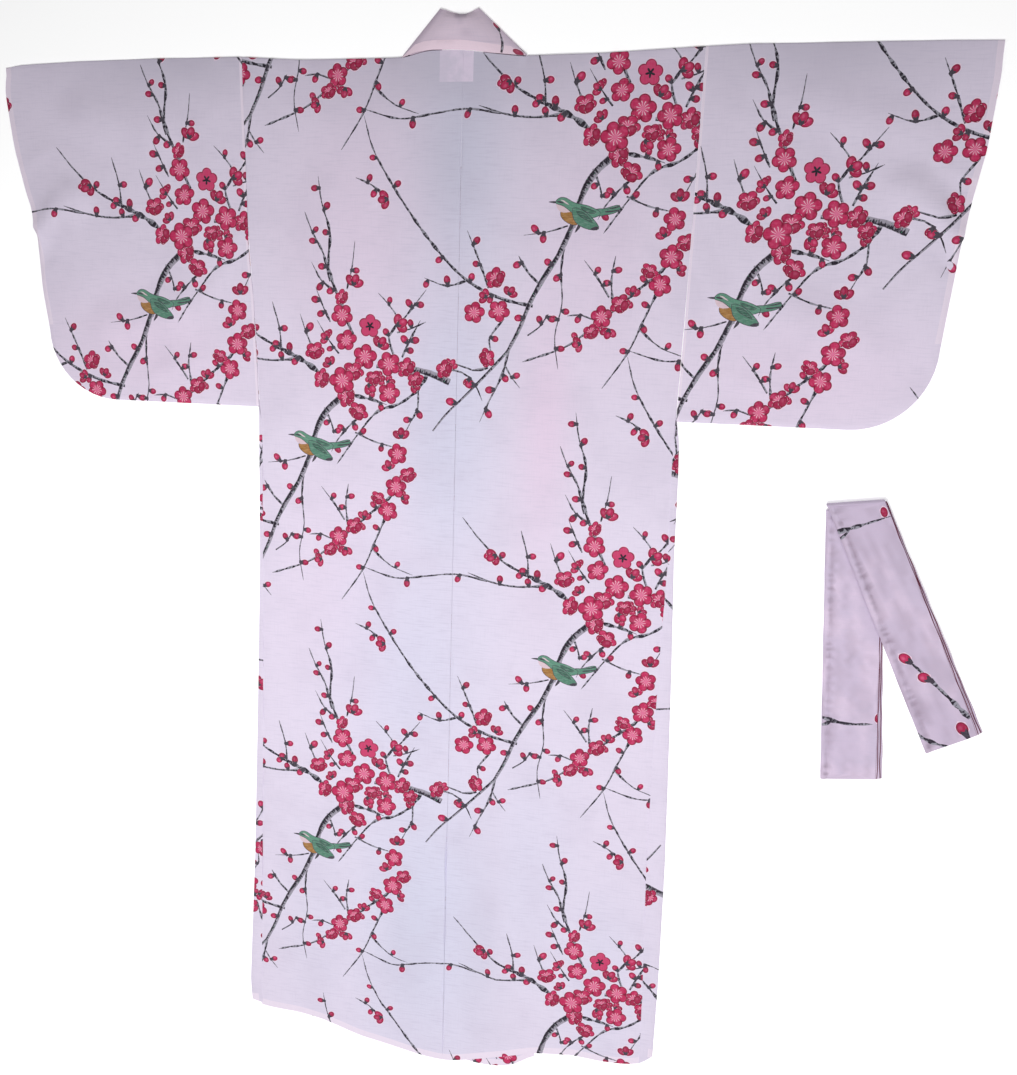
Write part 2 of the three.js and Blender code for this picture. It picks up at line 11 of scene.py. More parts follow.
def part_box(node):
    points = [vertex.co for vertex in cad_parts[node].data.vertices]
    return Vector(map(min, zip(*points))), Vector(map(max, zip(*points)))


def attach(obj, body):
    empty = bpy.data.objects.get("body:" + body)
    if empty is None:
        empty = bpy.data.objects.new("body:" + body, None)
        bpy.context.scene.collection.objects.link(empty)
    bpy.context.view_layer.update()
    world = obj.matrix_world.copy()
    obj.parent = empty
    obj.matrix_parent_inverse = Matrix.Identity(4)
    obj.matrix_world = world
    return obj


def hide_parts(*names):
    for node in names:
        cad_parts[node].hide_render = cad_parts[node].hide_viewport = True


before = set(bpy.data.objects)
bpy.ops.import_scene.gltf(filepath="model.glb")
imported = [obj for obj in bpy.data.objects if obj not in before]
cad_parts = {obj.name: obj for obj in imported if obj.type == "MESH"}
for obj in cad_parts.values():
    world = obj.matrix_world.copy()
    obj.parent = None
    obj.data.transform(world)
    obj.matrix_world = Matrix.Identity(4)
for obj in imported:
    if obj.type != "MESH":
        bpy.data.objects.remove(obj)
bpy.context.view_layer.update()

# A yukata laid out face down on a pale floor, with its folded tie belt beside it.
# Sizes are in millimetres in the garment's own plane: x runs to the right and y towards the
# collar, with zero on the shoulder line at the middle of the neck. The label under the back
# neck gives the place of that zero in the frame.
MM = 0.001
LABEL_LEFT, LABEL_RIGHT, LABEL_TOP, LABEL_BOTTOM = -32, 14, 4, -30
label_low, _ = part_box("neck_label")
ZERO_X = label_low.x / MM - LABEL_LEFT
ZERO_Y = label_low.y / MM - LABEL_BOTTOM

# Layers as in the frame: the wall, the step between layers, and the thin cloth shown here.
WALL = 1.0
LAYER = 1.3
GAP = 0.3
CLOTH = 0.55
LEAST_HEIGHT = 0.02
NECK_HALF = 85
LIFT_FLAT, LIFT_END = 192, 208
LIFT_START_Y, LIFT_FULL_Y = -70, -120
FOLD_RADIUS = 1.8
FOLD_ARC = math.pi * FOLD_RADIUS
WRAP_RADIUS = 1.15
SEAM_DIP = 0.7
SEAM_DIP_WIDTH = 4.0
SEAM_LINES = (1.5, SEAM_DIP_WIDTH)
# Above this the two halves of the back meet with hardly a gap.
NECK_JOIN_Y, NECK_JOIN_GAP = -45, 0.02
# Width of the doubled hems, and how far their zone goes past the cloth's edge.
HEM_WIDTH, HEM_MARGIN = 11, 4
# Just past the widest side and the lowest side hem.
PAST_SIDE, PAST_HEM = 345, -1500
BACK_HEM_SIDE, FRONT_HEM_SIDE = -1475, -1450
# Where the front starts to wrap round the side folds, and over what height.
WRAP_START, WRAP_FADE = -468, 12
# Part of an unfolded body length that lies face down, away from its visible edges.
HIDDEN_FROM, HIDDEN_TO, HIDDEN_HALF = 20, 1470, 290
GUSSET_HIDDEN_ABOVE = -1470
# Sleeves: how their layers close towards each other, and the plain strip at the armhole.
SLEEVE_CLOSE = 7.0
SLEEVE_EDGE_HEIGHT = 0.9
SLEEVE_FADE = 90
SLEEVE_STRIP = 3.5
COLLAR_BAND = 14
COLLAR_THICKNESS = 0.9
# Spacing of the points that fill each panel, and of those along its folds and seams.
GRAIN = {"body": 14, "gusset": 16, "sleeve": 11, "collar": 12, "label": 6}
LINE_STEP = 11

# Side of each body half: x of the back's edge, and of the fold where the front wraps round it.
SIDES = {
    "left": {
        "y": (-1480, -1429, -1190, -932, -706, -508, -464, -320, -252, -182, 0),
        "seam": (314, 313, 307, 301, 297, 294, 298, 303.4, 309, 311, 314),
        "fold": (329, 332, 319, 309, 301, 298.5, 298, 303.4, 309, 311, 314),
    },
    "right": {
        "y": (-1480, -1326, -1137, -1001, -826, -660, -533, -491, -464, -320, -252, -177, 0),
        "seam": (317, 314, 308, 307, 307, 310, 307, 307, 307.8, 310.8, 312, 313, 315),
        "fold": (335, 336, 334, 330, 324, 317, 315, 313, 307.8, 310.8, 312, 313, 315),
    },
}
SHOULDER = {
    "x": (-314, -230, -85, -50, 0, 40, 85, 180, 315),
    "y": (4, -1, -0.5, 9, 9, 4, -0.5, 1, 7),
}
BACK_HEM = {
    "x": (-320, -300, -250, -194, -142, -90, -39, 5, 37, 93, 150, 208, 255, 300, 320),
    "y": (-1471, -1475, -1476, -1484, -1500, -1509, -1519, -1521, -1514, -1499, -1481, -1474,
          -1477, -1475, -1468),
}
FRONT_HEM = {
    "left": {"x": (-331, -250, -142, 0, 55, 90, 115, 152),
             "y": (-1465, -1469, -1488, -1508, -1519, -1518, -1512, -1486)},
    "right": {"x": (-152, 0, 60, 150, 300, 335),
              "y": (-1484, -1502, -1494, -1472, -1468, -1452)},
}
# Seam of the collar on the front; x is towards the other front, past the middle.
COLLAR_SEAM = {
    "y": (-810, -660, -520, -400, -295, -240, -180, -120, -60, 0),
    "x": (135, 110, 78, 40, 0, -22, -44, -63, -78, -85),
}
COLLAR_WIDTH = 54
COLLAR_END = -810
CREASE_RADIUS = LAYER + WALL / 2
GUSSET_TOP_WIDTH = 135
GUSSET_HEM_WIDTH = 150
GUSSET_START = -307

# Collar behind the neck, from crease to crease, and how far the band swells off the floor.
COLLAR_BACK = {
    "seam_x": (-83.4, -66, -44, -15, 12, 36, 62, 83.8),
    "seam_y": (1.2, 7.5, 10, 10, 8.5, 5.2, 3, 1.2),
    "top_x": (-31.5, -26, -18, -7, 2, 9, 13.5, 18),
    "top_y": (59.5, 58.5, 56, 53.5, 53.5, 55.5, 57.5, 59),
    "swell": (0, 2, 5, 7, 7, 5, 2, 0),
}

# Sleeves: inner edge and cuff by height, the top line, and the round corner at the bottom.
SLEEVES = {
    "left": {
        "inner_y": (-474, -320, -252, -182, 8),
        "inner_x": (299, 304.5, 310.6, 311.4, 314.4),
        "cuff_y": (-474, -373, -315, -228, -200, -171, -115, -60, -33, 8),
        "cuff_x": (635, 635, 643, 647, 652, 661, 674, 681, 684, 675),
        "top_x": (-675, -660, -565, -440, -314),
        "top_y": (-5, -2, 2, 4, 4),
        "bottom": -473.5, "open_to": -228, "corner_y": -373, "corner_across": 106,
    },
    "right": {
        "inner_y": (-467, -344, -252, -177, 8),
        "inner_x": (308.6, 311.4, 312.4, 313.4, 315.4),
        "cuff_y": (-467, -359, -259, -210, -162, -115, -69, -24, 8),
        "cuff_x": (637, 637, 645, 649, 656, 664, 667, 670, 667),
        "top_x": (315, 370, 607, 667),
        "top_y": (7, 9, 9, 8),
        "bottom": -466.5, "open_to": -220, "corner_y": -359, "corner_across": 104,
    },
}

# Soft folds and creases in the upper cloth: the line each runs along, how far its middle bows
# to one side, its height (a trough is negative) and its half width.
Crease = namedtuple("Crease", "x1 y1 x2 y2 bow height width")
CREASES = [Crease(*row) for row in (
    # Broad folds, as in the solids.
    (-10, -1120, -95, -1430, 0, 5, 62), (128, -1130, 62, -1450, 0, 6, 58),
    (215, -1210, 235, -1445, 0, 4, 50), (-230, -1160, -205, -1440, 0, 4, 55),
    (60, -420, 72, -800, 0, 4, 60), (-70, -520, -55, -900, 0, 3, 64),
    (190, -120, 205, -420, 0, 3, 52), (-200, -150, -215, -520, 0, 3, 55),
    (20, -60, 45, -330, 0, 3, 50), (185, -760, 172, -1050, 0, 3, 55),
    (-190, -700, -175, -1010, 0, 3, 55), (560, -150, 648, -232, 0, 6, 44),
    (430, -60, 600, -95, 0, 3, 48), (410, -300, 560, -360, 0, 4, 52),
    (-570, -168, -650, -246, 0, 6, 44), (-400, -90, -590, -70, 0, 3, 50),
    (-390, -330, -560, -370, 0, 4, 52),
    # Narrow creases at the cuffs, the armholes and the sleeves' lower corners.
    (610, -172, 660, -228, 8, 1.9, 16), (585, -190, 642, -262, -6, -2.2, 17),
    (628, -262, 560, -330, 7, 1.6, 14), (600, -120, 655, -150, 5, 1.4, 13),
    (-612, -182, -655, -236, -7, 2.4, 15), (-590, -205, -640, -280, 6, -2.0, 17),
    (-628, -270, -566, -338, -6, 1.6, 14), (-604, -112, -662, -142, 5, 1.3, 13),
    (330, -235, 372, -330, 6, 1.4, 14), (-324, -225, -380, -318, -8, 1.5, 15),
    (300, -245, 250, -330, 7, 1.5, 16), (-298, -240, -240, -336, -7, 1.4, 16),
    (345, -400, 470, -438, -8, 1.3, 16), (-350, -404, -482, -440, 8, 1.4, 16),
    (520, -400, 590, -350, 6, 1.2, 14), (-505, -410, -590, -362, -6, 1.2, 14),
    # Creases of the back: the fold lines it was stored along, and slack near the hem.
    (40, -1180, -22, -1440, 10, 2.2, 18), (66, -1240, 50, -1402, -7, -1.8, 14),
    (96, -1300, 84, -1440, 6, 1.6, 12), (150, -1250, 176, -1452, 8, 1.8, 16),
    (-60, -1250, -120, -1470, -8, 1.8, 17), (-130, -1290, -160, -1460, 6, -1.6, 15),
    (-220, -1280, -262, -1440, 7, 1.4, 15), (250, -1100, 268, -1300, -6, 1.4, 16),
    (70, -1385, 36, -1492, -9, 2.0, 9), (84, -1404, 62, -1490, 8, -1.6, 8),
    (112, -1420, 96, -1486, 5, 1.2, 8), (20, -1400, -4, -1506, -6, 1.2, 10),
    (-60, -640, -6, -700, 6, 1.0, 14), (120, -640, 200, -610, -6, 1.0, 15),
    (-250, -620, -160, -655, 7, 1.0, 15), (210, -905, 290, -880, 6, 1.1, 15),
    (-292, -905, -205, -930, -7, 1.1, 16), (110, -90, 142, -250, 8, 1.3, 15),
    (-120, -70, -150, -260, -9, 1.3, 16), (-35, -350, -20, -560, 6, 1.2, 18),
    (240, -460, 262, -640, -6, 1.2, 16), (-255, -440, -268, -650, 7, 1.2, 17),
)]

# Soft tints of the cloth, each as place, half width, half height, and how strong: painted cool
# light where light comes through a single layer, pink, and grey painted shade at the top, below
# the neck and near the hem.
COOL_LIGHT_PATCHES = (
    (0, -140, 60, 190, 0.9), (-15, -480, 75, 260, 0.9), (-60, -860, 120, 240, 0.7),
    (-30, -1260, 130, 300, 0.9), (120, -1180, 90, 220, 0.5), (-200, -1300, 80, 200, 0.4),
    (240, -1330, 70, 160, 0.5),
)
PINK_PATCHES = (
    (130, -480, 40, 200, 0.9), (190, -250, 90, 170, 0.5), (-150, -250, 110, 220, 0.5),
    (-480, -400, 160, 90, 0.6), (470, -400, 160, 90, 0.5), (-190, -700, 100, 200, 0.3),
)
# The grey tint is painted shade.
PAINTED_SHADE_PATCHES = (
    (0, 0, 260, 70, 0.8), (-420, 0, 180, 45, 0.8), (460, 0, 160, 45, 0.8),
    (-15, -130, 60, 110, 0.45), (-60, -1330, 40, 110, 0.25), (60, -1300, 34, 130, 0.3),
)

# Print: what each patch of colour is, as the material tells them apart; 0 is plain cloth.
FLOWER, BACK_FLOWER, PETAL, TWIG, BRANCH, GREEN, OCHRE, THROAT, DARK, HALO = range(1, 11)
# Zones of the cloth: doubled cloth at hems, the label seen through it, the belt's hem, which is
# only cut along its edges, and the dark red edges of the belt's layers, partly dye at the folds and partly
# painted shadow lines.
HEM_ZONE, LABEL_ZONE, BELT_HEM_ZONE, DYE_AND_SHADOW_EDGE_ZONE = 1, 2, 3, 4

# The repeat: strips of cloth as wide as REPEAT_ACROSS lie half a step higher or lower. Its star
# flower comes first at these places of the body, the gussets and the sleeves.
REPEAT_ALONG = 640
REPEAT_ACROSS = 375
COLUMNS_EACH_WAY, REPEATS_EACH_WAY = 3, 8
REPEAT_DROP = -330
FIRST_STAR = (249, -28)
GUSSET_STAR = {"left": (150, -235), "right": (-40, -150)}
SLEEVE_STAR = {"left": (-370, -162), "right": (466, -147)}
COLLAR_STAR = (0, 112)

# Open flowers round the star flower of the repeat: place, radius, turn and how far tilted.
Bloom = namedtuple("Bloom", "x y radius turn tilt kind", defaults=(FLOWER,))
BLOOMS = [Bloom(*row) for row in (
    (-44, 45, 12, 20, 0.74), (-43, 20, 16, 52, 1.0),
    (-84, -31, 15.5, 64, 0.8), (-37, -15, 16.5, 12, 0.86),
    (52, -50, 15.5, 16, 0.82), (27, -46, 17.5, 40, 0.98),
    (-9, -37, 18, 8, 1.0), (-27, -58, 17, 58, 0.8),
    (-37, -95, 16, 28, 0.84), (-74, -70, 15.5, 80, 0.72),
    (-43, -72, 19.5, 34, 1.0), (27, -87, 16.5, 4, 0.96),
    (-19, -115, 16, 48, 0.78), (41, -174, 15.5, 30, 0.98),
    (57, -203, 14, 66, 0.8), (39, -222, 16.5, 12, 0.98),
    (27, -258, 16, 44, 0.94), (-49, -302, 15.5, 24, 0.95),
    (-25, -284, 15, 70, 0.8), (-197, -254, 15.5, 18, 0.84),
    (-191, -298, 15.5, 60, 0.96), (-226, -301, 15.5, 6, 0.95),
    (-206, -362, 14, 35, 0.82), (108, -50, 14, 20, 0.84),
    (12, -240, 12.5, 50, 0.76), (-62, -322, 12.5, 10, 0.8),
    (4, -66, 13.5, 62, 0.76), (66, -66, 13, 10, 0.8),
    (-2, 6, 16.5, 14, 1.0, BACK_FLOWER),
)]

# Flowers seen from the side: place, direction that they face, and length of a petal.
SIDE_BLOOMS = (
    (38, 8, 30, 16), (-27, 62, 70, 15), (12, -22, 60, 15), (-4, -76, -40, 14), (10, -68, 15, 12),
    (24, -72, 12, 12), (-184, -2, 215, 15), (46, -150, 95, 14), (-352, -152, 190, 14),
    (30, -196, 120, 13), (-38, -318, -100, 13), (-64, -14, 150, 12), (62, -74, -20, 12),
    (-208, -280, 160, 12), (-178, -276, 60, 12), (48, -238, 20, 12), (-60, -50, 130, 12),
    (-10, -272, 80, 12), (-76, -338, 200, 12), (116, -46, 60, 11),
)

# Twigs: width at the start and the end, buds as (share along, side, size), the route, and the kind.
Twig = namedtuple("Twig", "start end buds route kind", defaults=(TWIG,))
TWIGS = [Twig(*row) for row in (
    (9.6, 8.4, (), ((-40, -92), (-66, -116), (-82, -144), (-94, -186)), BRANCH),
    (8.4, 4.6, ((0.3, -1, 6), (0.72, -1, 6)),
     ((-94, -184), (-110, -220), (-130, -252), (-148, -286), (-162, -322), (-178, -354)), BRANCH),
    (4.6, 2.6, ((0.42, -1, 7.5), (0.66, -1, 7)),
     ((-177, -352), (-200, -378), (-232, -412), (-262, -442), (-282, -468)), BRANCH),
    (2.6, 0.9, ((0.3, 1, 6), (0.52, -1, 6.5), (0.8, 1, 6.5)),
     ((-176, -352), (-184, -386), (-200, -420), (-214, -452))),
    (1.8, 0.8, ((0.5, 1, 5.5),), ((-180, -372), (-170, -388), (-158, -402))),
    (2.0, 1.2, (), ((-204, -376), (-226, -380), (-252, -372), (-276, -378))),
    (6, 10.5, (), ((8, -50), (48, -50), (88, -57), (116, -68)), BRANCH),
    (2.0, 1.2, ((0.5, -1, 6),), ((112, -50), (134, -54), (152, -68), (164, -92))),
    (4.6, 1.0, ((0.27, 1, 6.5), (0.34, -1, 6.5), (0.44, 1, 6), (0.63, -1, 6), (0.68, 1, 6.5)),
     ((-60, -74), (-98, -48), (-134, -31), (-172, -12), (-206, 16), (-236, 50))),
    (2.4, 1.4, ((0.22, -1, 6), (0.58, -1, 6)),
     ((-108, -43), (-150, -47), (-188, -43), (-226, -32))),
    (2.0, 1.2, ((0.22, 1, 5.5), (0.64, 1, 6)),
     ((-196, -42), (-244, -36), (-290, -42), (-336, -48), (-384, -36))),
    (2.2, 0.8, ((0.45, -1, 6), (0.12, 1, 6)), ((-136, -34), (-139, 0), (-149, 36))),
    (2.4, 0.8, ((0.55, -1, 7),), ((-84, -34), (-96, -8), (-106, 20))),
    (2.0, 0.8, ((0.2, 1, 5), (0.5, -1, 5.5)), ((-48, -34), (-62, -16), (-80, 12))),
    (3.4, 1.2, ((0.27, -1, 6), (0.33, 1, 6), (0.66, 1, 5.5), (0.8, -1, 6), (0.93, 1, 5.5)),
     ((-24, -16), (-44, 34), (-62, 84), (-60, 132), (-72, 172), (-78, 208))),
    (2.4, 0.8, ((0.2, 1, 6), (0.56, 1, 5.5), (0.7, -1, 5)),
     ((-60, 66), (-70, 104), (-86, 132), (-98, 160))),
    (2.0, 0.8, ((0.42, 1, 6),), ((-50, 52), (-72, 66), (-88, 92))),
    (1.8, 0.8, ((0.4, -1, 5.5),), ((-36, 56), (-28, 88), (-24, 122))),
    (1.8, 0.9, ((0.3, 1, 6), (0.62, 1, 6.5)), ((-60, 10), (-70, 30), (-82, 58))),
    (2.4, 0.9, ((0.28, 1, 6), (0.45, -1, 6), (0.78, -1, 5)),
     ((34, -34), (26, -8), (40, 14), (26, 36), (10, 52))),
    (2.2, 0.8, ((0.5, 1, 6), (0.6, -1, 6)), ((40, 8), (58, 30), (80, 58))),
    (2.6, 0.8, ((0.36, 1, 6.5), (0.44, -1, 6.5), (0.2, -1, 6)),
     ((46, -36), (56, -14), (72, 16))),
    (1.8, 0.8, ((0.5, 1, 5.5),), ((38, -2), (58, 4), (80, 14))),
    (3.2, 1.0, (), ((84, -58), (68, -82), (42, -102), (10, -114), (-18, -146), (-52, -194))),
    (2.0, 0.8, ((0.42, 1, 6), (0.64, -1, 6)), ((70, -80), (70, -106), (60, -126), (50, -146))),
    (4.0, 3.0, (), ((62, -56), (62, -84))),
    (3.0, 1.6, ((0.5, 1, 5.5), (0.8, -1, 5.5)), ((-28, -92), (4, -98), (24, -104))),
    (2.0, 1.4, ((0.12, 1, 5.5), (0.72, -1, 5.5)), ((-24, -146), (6, -158), (34, -164))),
    (2.4, 1.0, ((0.2, 1, 6), (0.45, -1, 6), (0.86, 1, 5.5)),
     ((-16, -122), (-34, -138), (-52, -160), (-60, -176))),
    (1.6, 0.9, ((0.5, -1, 5.5), (0.9, 1, 5.5)), ((-70, -112), (-60, -132), (-56, -150))),
    (3.4, 1.4, ((0.22, -1, 5.5), (0.36, 1, 6), (0.52, 1, 5.5), (0.68, -1, 5.5)),
     ((46, -212), (28, -240), (2, -262), (-30, -290), (-62, -318), (-98, -344), (-156, -366))),
    (2.2, 0.8, ((0.18, -1, 5.5), (0.34, 1, 5.5), (0.6, -1, 5.5)),
     ((26, -262), (8, -304), (-12, -350), (-44, -398))),
    (1.8, 0.8, ((0.6, 1, 5),), ((4, -318), (32, -340), (66, -352))),
    (2.0, 0.8, ((0.45, 1, 5.5), (0.7, -1, 5.5)), ((-34, -288), (-38, -254), (-34, -222))),
    (2.0, 0.8, ((0.3, -1, 5.5), (0.6, -1, 5.5)), ((-40, -276), (-56, -252), (-76, -228))),
    (1.8, 0.8, ((0.5, 1, 5.5),), ((-60, -306), (-78, -300), (-96, -302))),
    (3.4, 0.9, ((0.16, 1, 5.5), (0.26, -1, 6), (0.4, 1, 5.5), (0.72, -1, 5.5), (0.84, 1, 5)),
     ((-144, -290), (-178, -284), (-212, -272), (-248, -250), (-284, -214), (-318, -172),
      (-350, -126), (-374, -84), (-386, -44))),
    (2.2, 0.8, ((0.4, 1, 5.5), (0.75, -1, 6)), ((-206, -268), (-220, -232), (-238, -192))),
    (2.0, 0.8, ((0.45, -1, 6), (0.9, 1, 5.5)), ((-236, -258), (-266, -266), (-298, -256))),
    (2.6, 1.4, ((0.8, 1, 6),), ((-134, -262), (-152, -246), (-166, -224))),
    (1.8, 0.8, ((0.28, -1, 6), (0.55, 1, 5.5), (0.62, -1, 5.5), (0.84, 1, 5.5)),
     ((-102, -198), (-107, -242), (-104, -286), (-112, -330), (-106, -374))),
    (1.6, 0.8, ((0.6, 1, 5.5), (0.9, -1, 5.5)), ((-150, -330), (-134, -318), (-122, -300))),
    (1.8, 0.8, ((0.55, 1, 6), (0.66, -1, 6)), ((-100, -184), (-126, -192), (-160, -197))),
    (2.4, 1.2, ((0.5, 1, 5.5),), ((-184, -308), (-204, -338), (-196, -364))),
    (2.0, 0.8, ((0.3, 1, 5.5), (0.62, -1, 5.5)), ((-356, -148), (-374, -134), (-398, -124))),
)]


# How far along a table's key its corners are rounded.
ROUNDING = 10.0


def between(table, key, column, place):
    """Value of a table's column at a place along its key column, with its corners rounded."""
    offsets = np.linspace(-ROUNDING, ROUNDING, 5)
    total = 0
    for offset in offsets:
        total = total + np.interp(np.asarray(place, float) + offset, table[key], table[column])
    return total / len(offsets)


def smooth_step(value):
    value = np.clip(value, 0, 1)
    return value * value * (3 - 2 * value)


def shoulder_line(x):
    return between(SHOULDER, "x", "y", x)


def overlap_lift(x):
    """1 where the front overlap lifts what lies on it, 0 towards the sides."""
    return smooth_step((LIFT_END - np.abs(x)) / (LIFT_END - LIFT_FLAT))


def shoulder_lift(y):
    return smooth_step((np.asarray(y) - LIFT_FULL_Y) / (LIFT_START_Y - LIFT_FULL_Y))


def crease_height(x, y):
    total = np.zeros(np.shape(x))
    for crease in CREASES:
        run = np.array((crease.x2 - crease.x1, crease.y2 - crease.y1), float)
        length = np.hypot(*run)
        share = ((x - crease.x1) * run[0] + (y - crease.y1) * run[1]) / length**2
        aside = ((x - crease.x1) * run[1] - (y - crease.y1) * run[0]) / length
        aside = aside - crease.bow * np.sin(np.pi * np.clip(share, 0, 1))
        past = np.maximum(0, np.abs(share - 0.5) - 0.35) / 0.3
        narrow = 1 - 0.45 * past
        across = 0.5 + 0.5 * np.cos(np.pi * np.clip(np.abs(aside) / (crease.width * narrow), 0, 1))
        total += crease.height * across * (0.5 + 0.5 * np.cos(np.pi * np.clip(past, 0, 1)))
    return total


def rumple(x, y, size, height):
    """Slight unevenness of cloth that has been folded and smoothed out by hand."""
    heights = [noise.fractal(Vector((a / size, b / size, 3.7)), 1.0, 2.1, 3) for a, b in zip(x, y)]
    return height * np.array(heights)


def fold_over(past, radius):
    """Place along and across a round fold, for a distance past its line."""
    turn = np.clip(past / radius, 0, np.pi)
    along = np.where(past < 0, past, radius * np.sin(turn))
    along = np.where(past > np.pi * radius, np.pi * radius - past, along)
    return along, np.cos(turn)


# Order of the patches of print, from the lowest up; those from BIRD_ORDER on are the bird's.
HALO_ORDER, TWIG_ORDER, BRANCH_ORDER, KNOT_ORDER, BUD_ORDER = 0, 10, 12, 15, 20
SIDE_BLOOM_ORDER, BLOOM_ORDER, BIRD_ORDER = 24, 30, 59
# The lowest bird of all would lie in the hem, so it is left out.
LOWEST_BIRD = -1450

# The small bird on the branch, in its own millimetres, facing left: patches of colour, each with
# its order from the lowest up and how dark it is.
BIRD_PLACE = (-86, -164)
BIRD_TURN, BIRD_SCALE = -3, 0.98
BIRD_OUTLINE = 0.7
FEATHER_SCALE = 12
BIRD = (
    (DARK, 59, 1, ((-8, -16), (-5, -17), (-7, -25), (-13, -30), (-11, -24))),
    (DARK, 59, 1, ((2, -16), (5, -17), (3, -24), (-3, -30), (-1, -23))),
    (OCHRE, 60, 0.4, ((-24, -2), (-15, 0), (-8, -5), (-2, -13), (-1, -19), (-9, -19), (-18, -15),
                      (-24, -9))),
    (THROAT, 61, 0, ((-32, 6.5), (-26, 5), (-18, 2), (-11, -2), (-17, -4), (-24, -4), (-29.5, 0))),
    (GREEN, 62, 0.35, ((22, 2), (34, 3.5), (46, 8), (54, 9.5), (55, 4), (47, -1), (36, -4), (24, -6))),
    (GREEN, 63, 0.2, ((-33, 7.5), (-31, 12), (-26, 15), (-19, 14.5), (-11, 10.5), (-2, 8), (10, 6.5),
                      (21, 3), (29, -1), (27, -6), (18, -9), (6, -10), (-5, -6), (-13, -1), (-21, 4),
                      (-28, 6))),
    (GREEN, 64, 0.45, ((-9, 2), (2, 1), (12, -4), (21, -11), (29, -20), (27, -24), (16, -24),
                       (3, -20), (-6, -12))),
    (GREEN, 65, 0.95, ((-3, -2), (6, -3), (14, -9), (20, -15), (12, -12), (3, -8))),
    (GREEN, 65, 0.8, ((2, 4.5), (12, 2.5), (24, -1.5), (16, -3), (7, 0))),
    (DARK, 66, 1, ((29, -20), (27, -24), (18, -24), (23, -20.5))),
    (DARK, 66, 1, ((36, 0.6), (47, 2.6), (55, 4.4), (54, 2.8), (46, 0.6), (37, -0.8))),
    (DARK, 66, 1, ((36, 3), (46, 6.4), (54, 9), (54, 7.4), (46, 4.8))),
    (DARK, 66, 1, ((-33, 9.6), (-38, 9.4), (-43, 8), (-38, 7.2), (-33, 7))),
    (DARK, 66, 1, ((-32, 9.6), (-27, 10.4), (-21, 8), (-24, 7.6), (-29, 8.2))),
    (THROAT, 67, 0, ((-27, 11.8), (-22, 11.4), (-14, 6.4), (-19, 7.6), (-23, 10))),
)

# Print design: every patch has its own ring of points, and its own axes for the material.
Motif = namedtuple("Motif", "kind order ring centre axes seed")
chance = random.Random(11)

# Petals of an open flower whose tips reach 1, and the notch between two of them.
PETAL_CENTRE = 0.56
PETAL_RADIUS = 0.45
NOTCH = 0.76
DARK_PETAL = 1.0
BLOOM_HALO, PETAL_HALO = 1.2, 0.8
TWIG_WEIGHT = 1.7
BUD_WEIGHT = 1.28


def turned(angle):
    angle = math.radians(angle)
    return np.array(((math.cos(angle), -math.sin(angle)), (math.sin(angle), math.cos(angle))))


def placed(ring, centre, axes):
    return np.asarray(ring) @ axes.T + np.asarray(centre)


def anticlockwise(ring):
    ring = np.asarray(ring, float)
    following = np.roll(ring, -1, axis=0)
    area = np.sum(ring[:, 0] * following[:, 1] - ring[:, 1] * following[:, 0])
    return ring if area > 0 else ring[::-1]


def grown(ring, by):
    """A ring pushed outwards all round."""
    ring = anticlockwise(ring)
    way = np.roll(ring, -1, axis=0) - np.roll(ring, 1, axis=0)
    out = np.stack((way[:, 1], -way[:, 0]), 1) / np.hypot(way[:, 0], way[:, 1])[:, None]
    return ring + out * by


def soft_curve(a, b, c, d, count):
    """Points from b up to c on the smooth curve that passes a and d too."""
    t = (np.arange(count) / count)[:, None]
    return (2 * b + (c - a) * t + (2 * a - 5 * b + 4 * c - d) * t**2
            + (3 * b - a - 3 * c + d) * t**3) / 2


def rounded(ring, count=2):
    """A closed soft curve through a few points."""
    ring = np.array(ring, float)
    corners = zip(np.roll(ring, 1, 0), ring, np.roll(ring, -1, 0), np.roll(ring, -2, 0))
    return np.concatenate([soft_curve(a, b, c, d, count) for a, b, c, d in corners])


def smooth_route(points, step=11):
    """Points along a soft curve through the given ones."""
    points = [np.array(p, float) for p in points]
    padded = [2 * points[0] - points[1]] + points + [2 * points[-1] - points[-2]]
    parts = []
    for a, b, c, d in zip(padded, padded[1:], padded[2:], padded[3:]):
        parts.append(soft_curve(a, b, c, d, max(1, round(np.hypot(*(c - b)) / step))))
    return np.concatenate(parts + [points[-1:]])


# The points of an open flower's ring that are left where it is drawn with fewer.
FEWER_POINTS = np.arange(25) % 5 % 3 > 0


def bloom_ring():
    """Five round petals, drawn a little outside the circles that the material fills."""
    reach = PETAL_RADIUS / math.cos(math.radians(20))
    ring = []
    for petal in range(5):
        for angle in (-60, -20, 20, 60):
            ring.append(turned(petal * 72) @ (turned(angle)[:, 0] * reach + (PETAL_CENTRE, 0)))
        ring.append(turned(petal * 72 + 36)[:, 0] * NOTCH)
    return np.array(ring)


def oval_ring(count=8):
    """A ring round the unit circle."""
    return np.array([turned(360 * k / count)[:, 0] / math.cos(math.pi / count) for k in range(count)])


def add_halo(motifs, ring, centre, axes, width):
    """Pale edge that the dye leaves round a flower or a bud."""
    grow = 1 + width / math.sqrt(abs(np.linalg.det(axes)))
    motifs.append(Motif(HALO, HALO_ORDER, placed(ring * grow, centre, axes), centre, axes, 0.5))


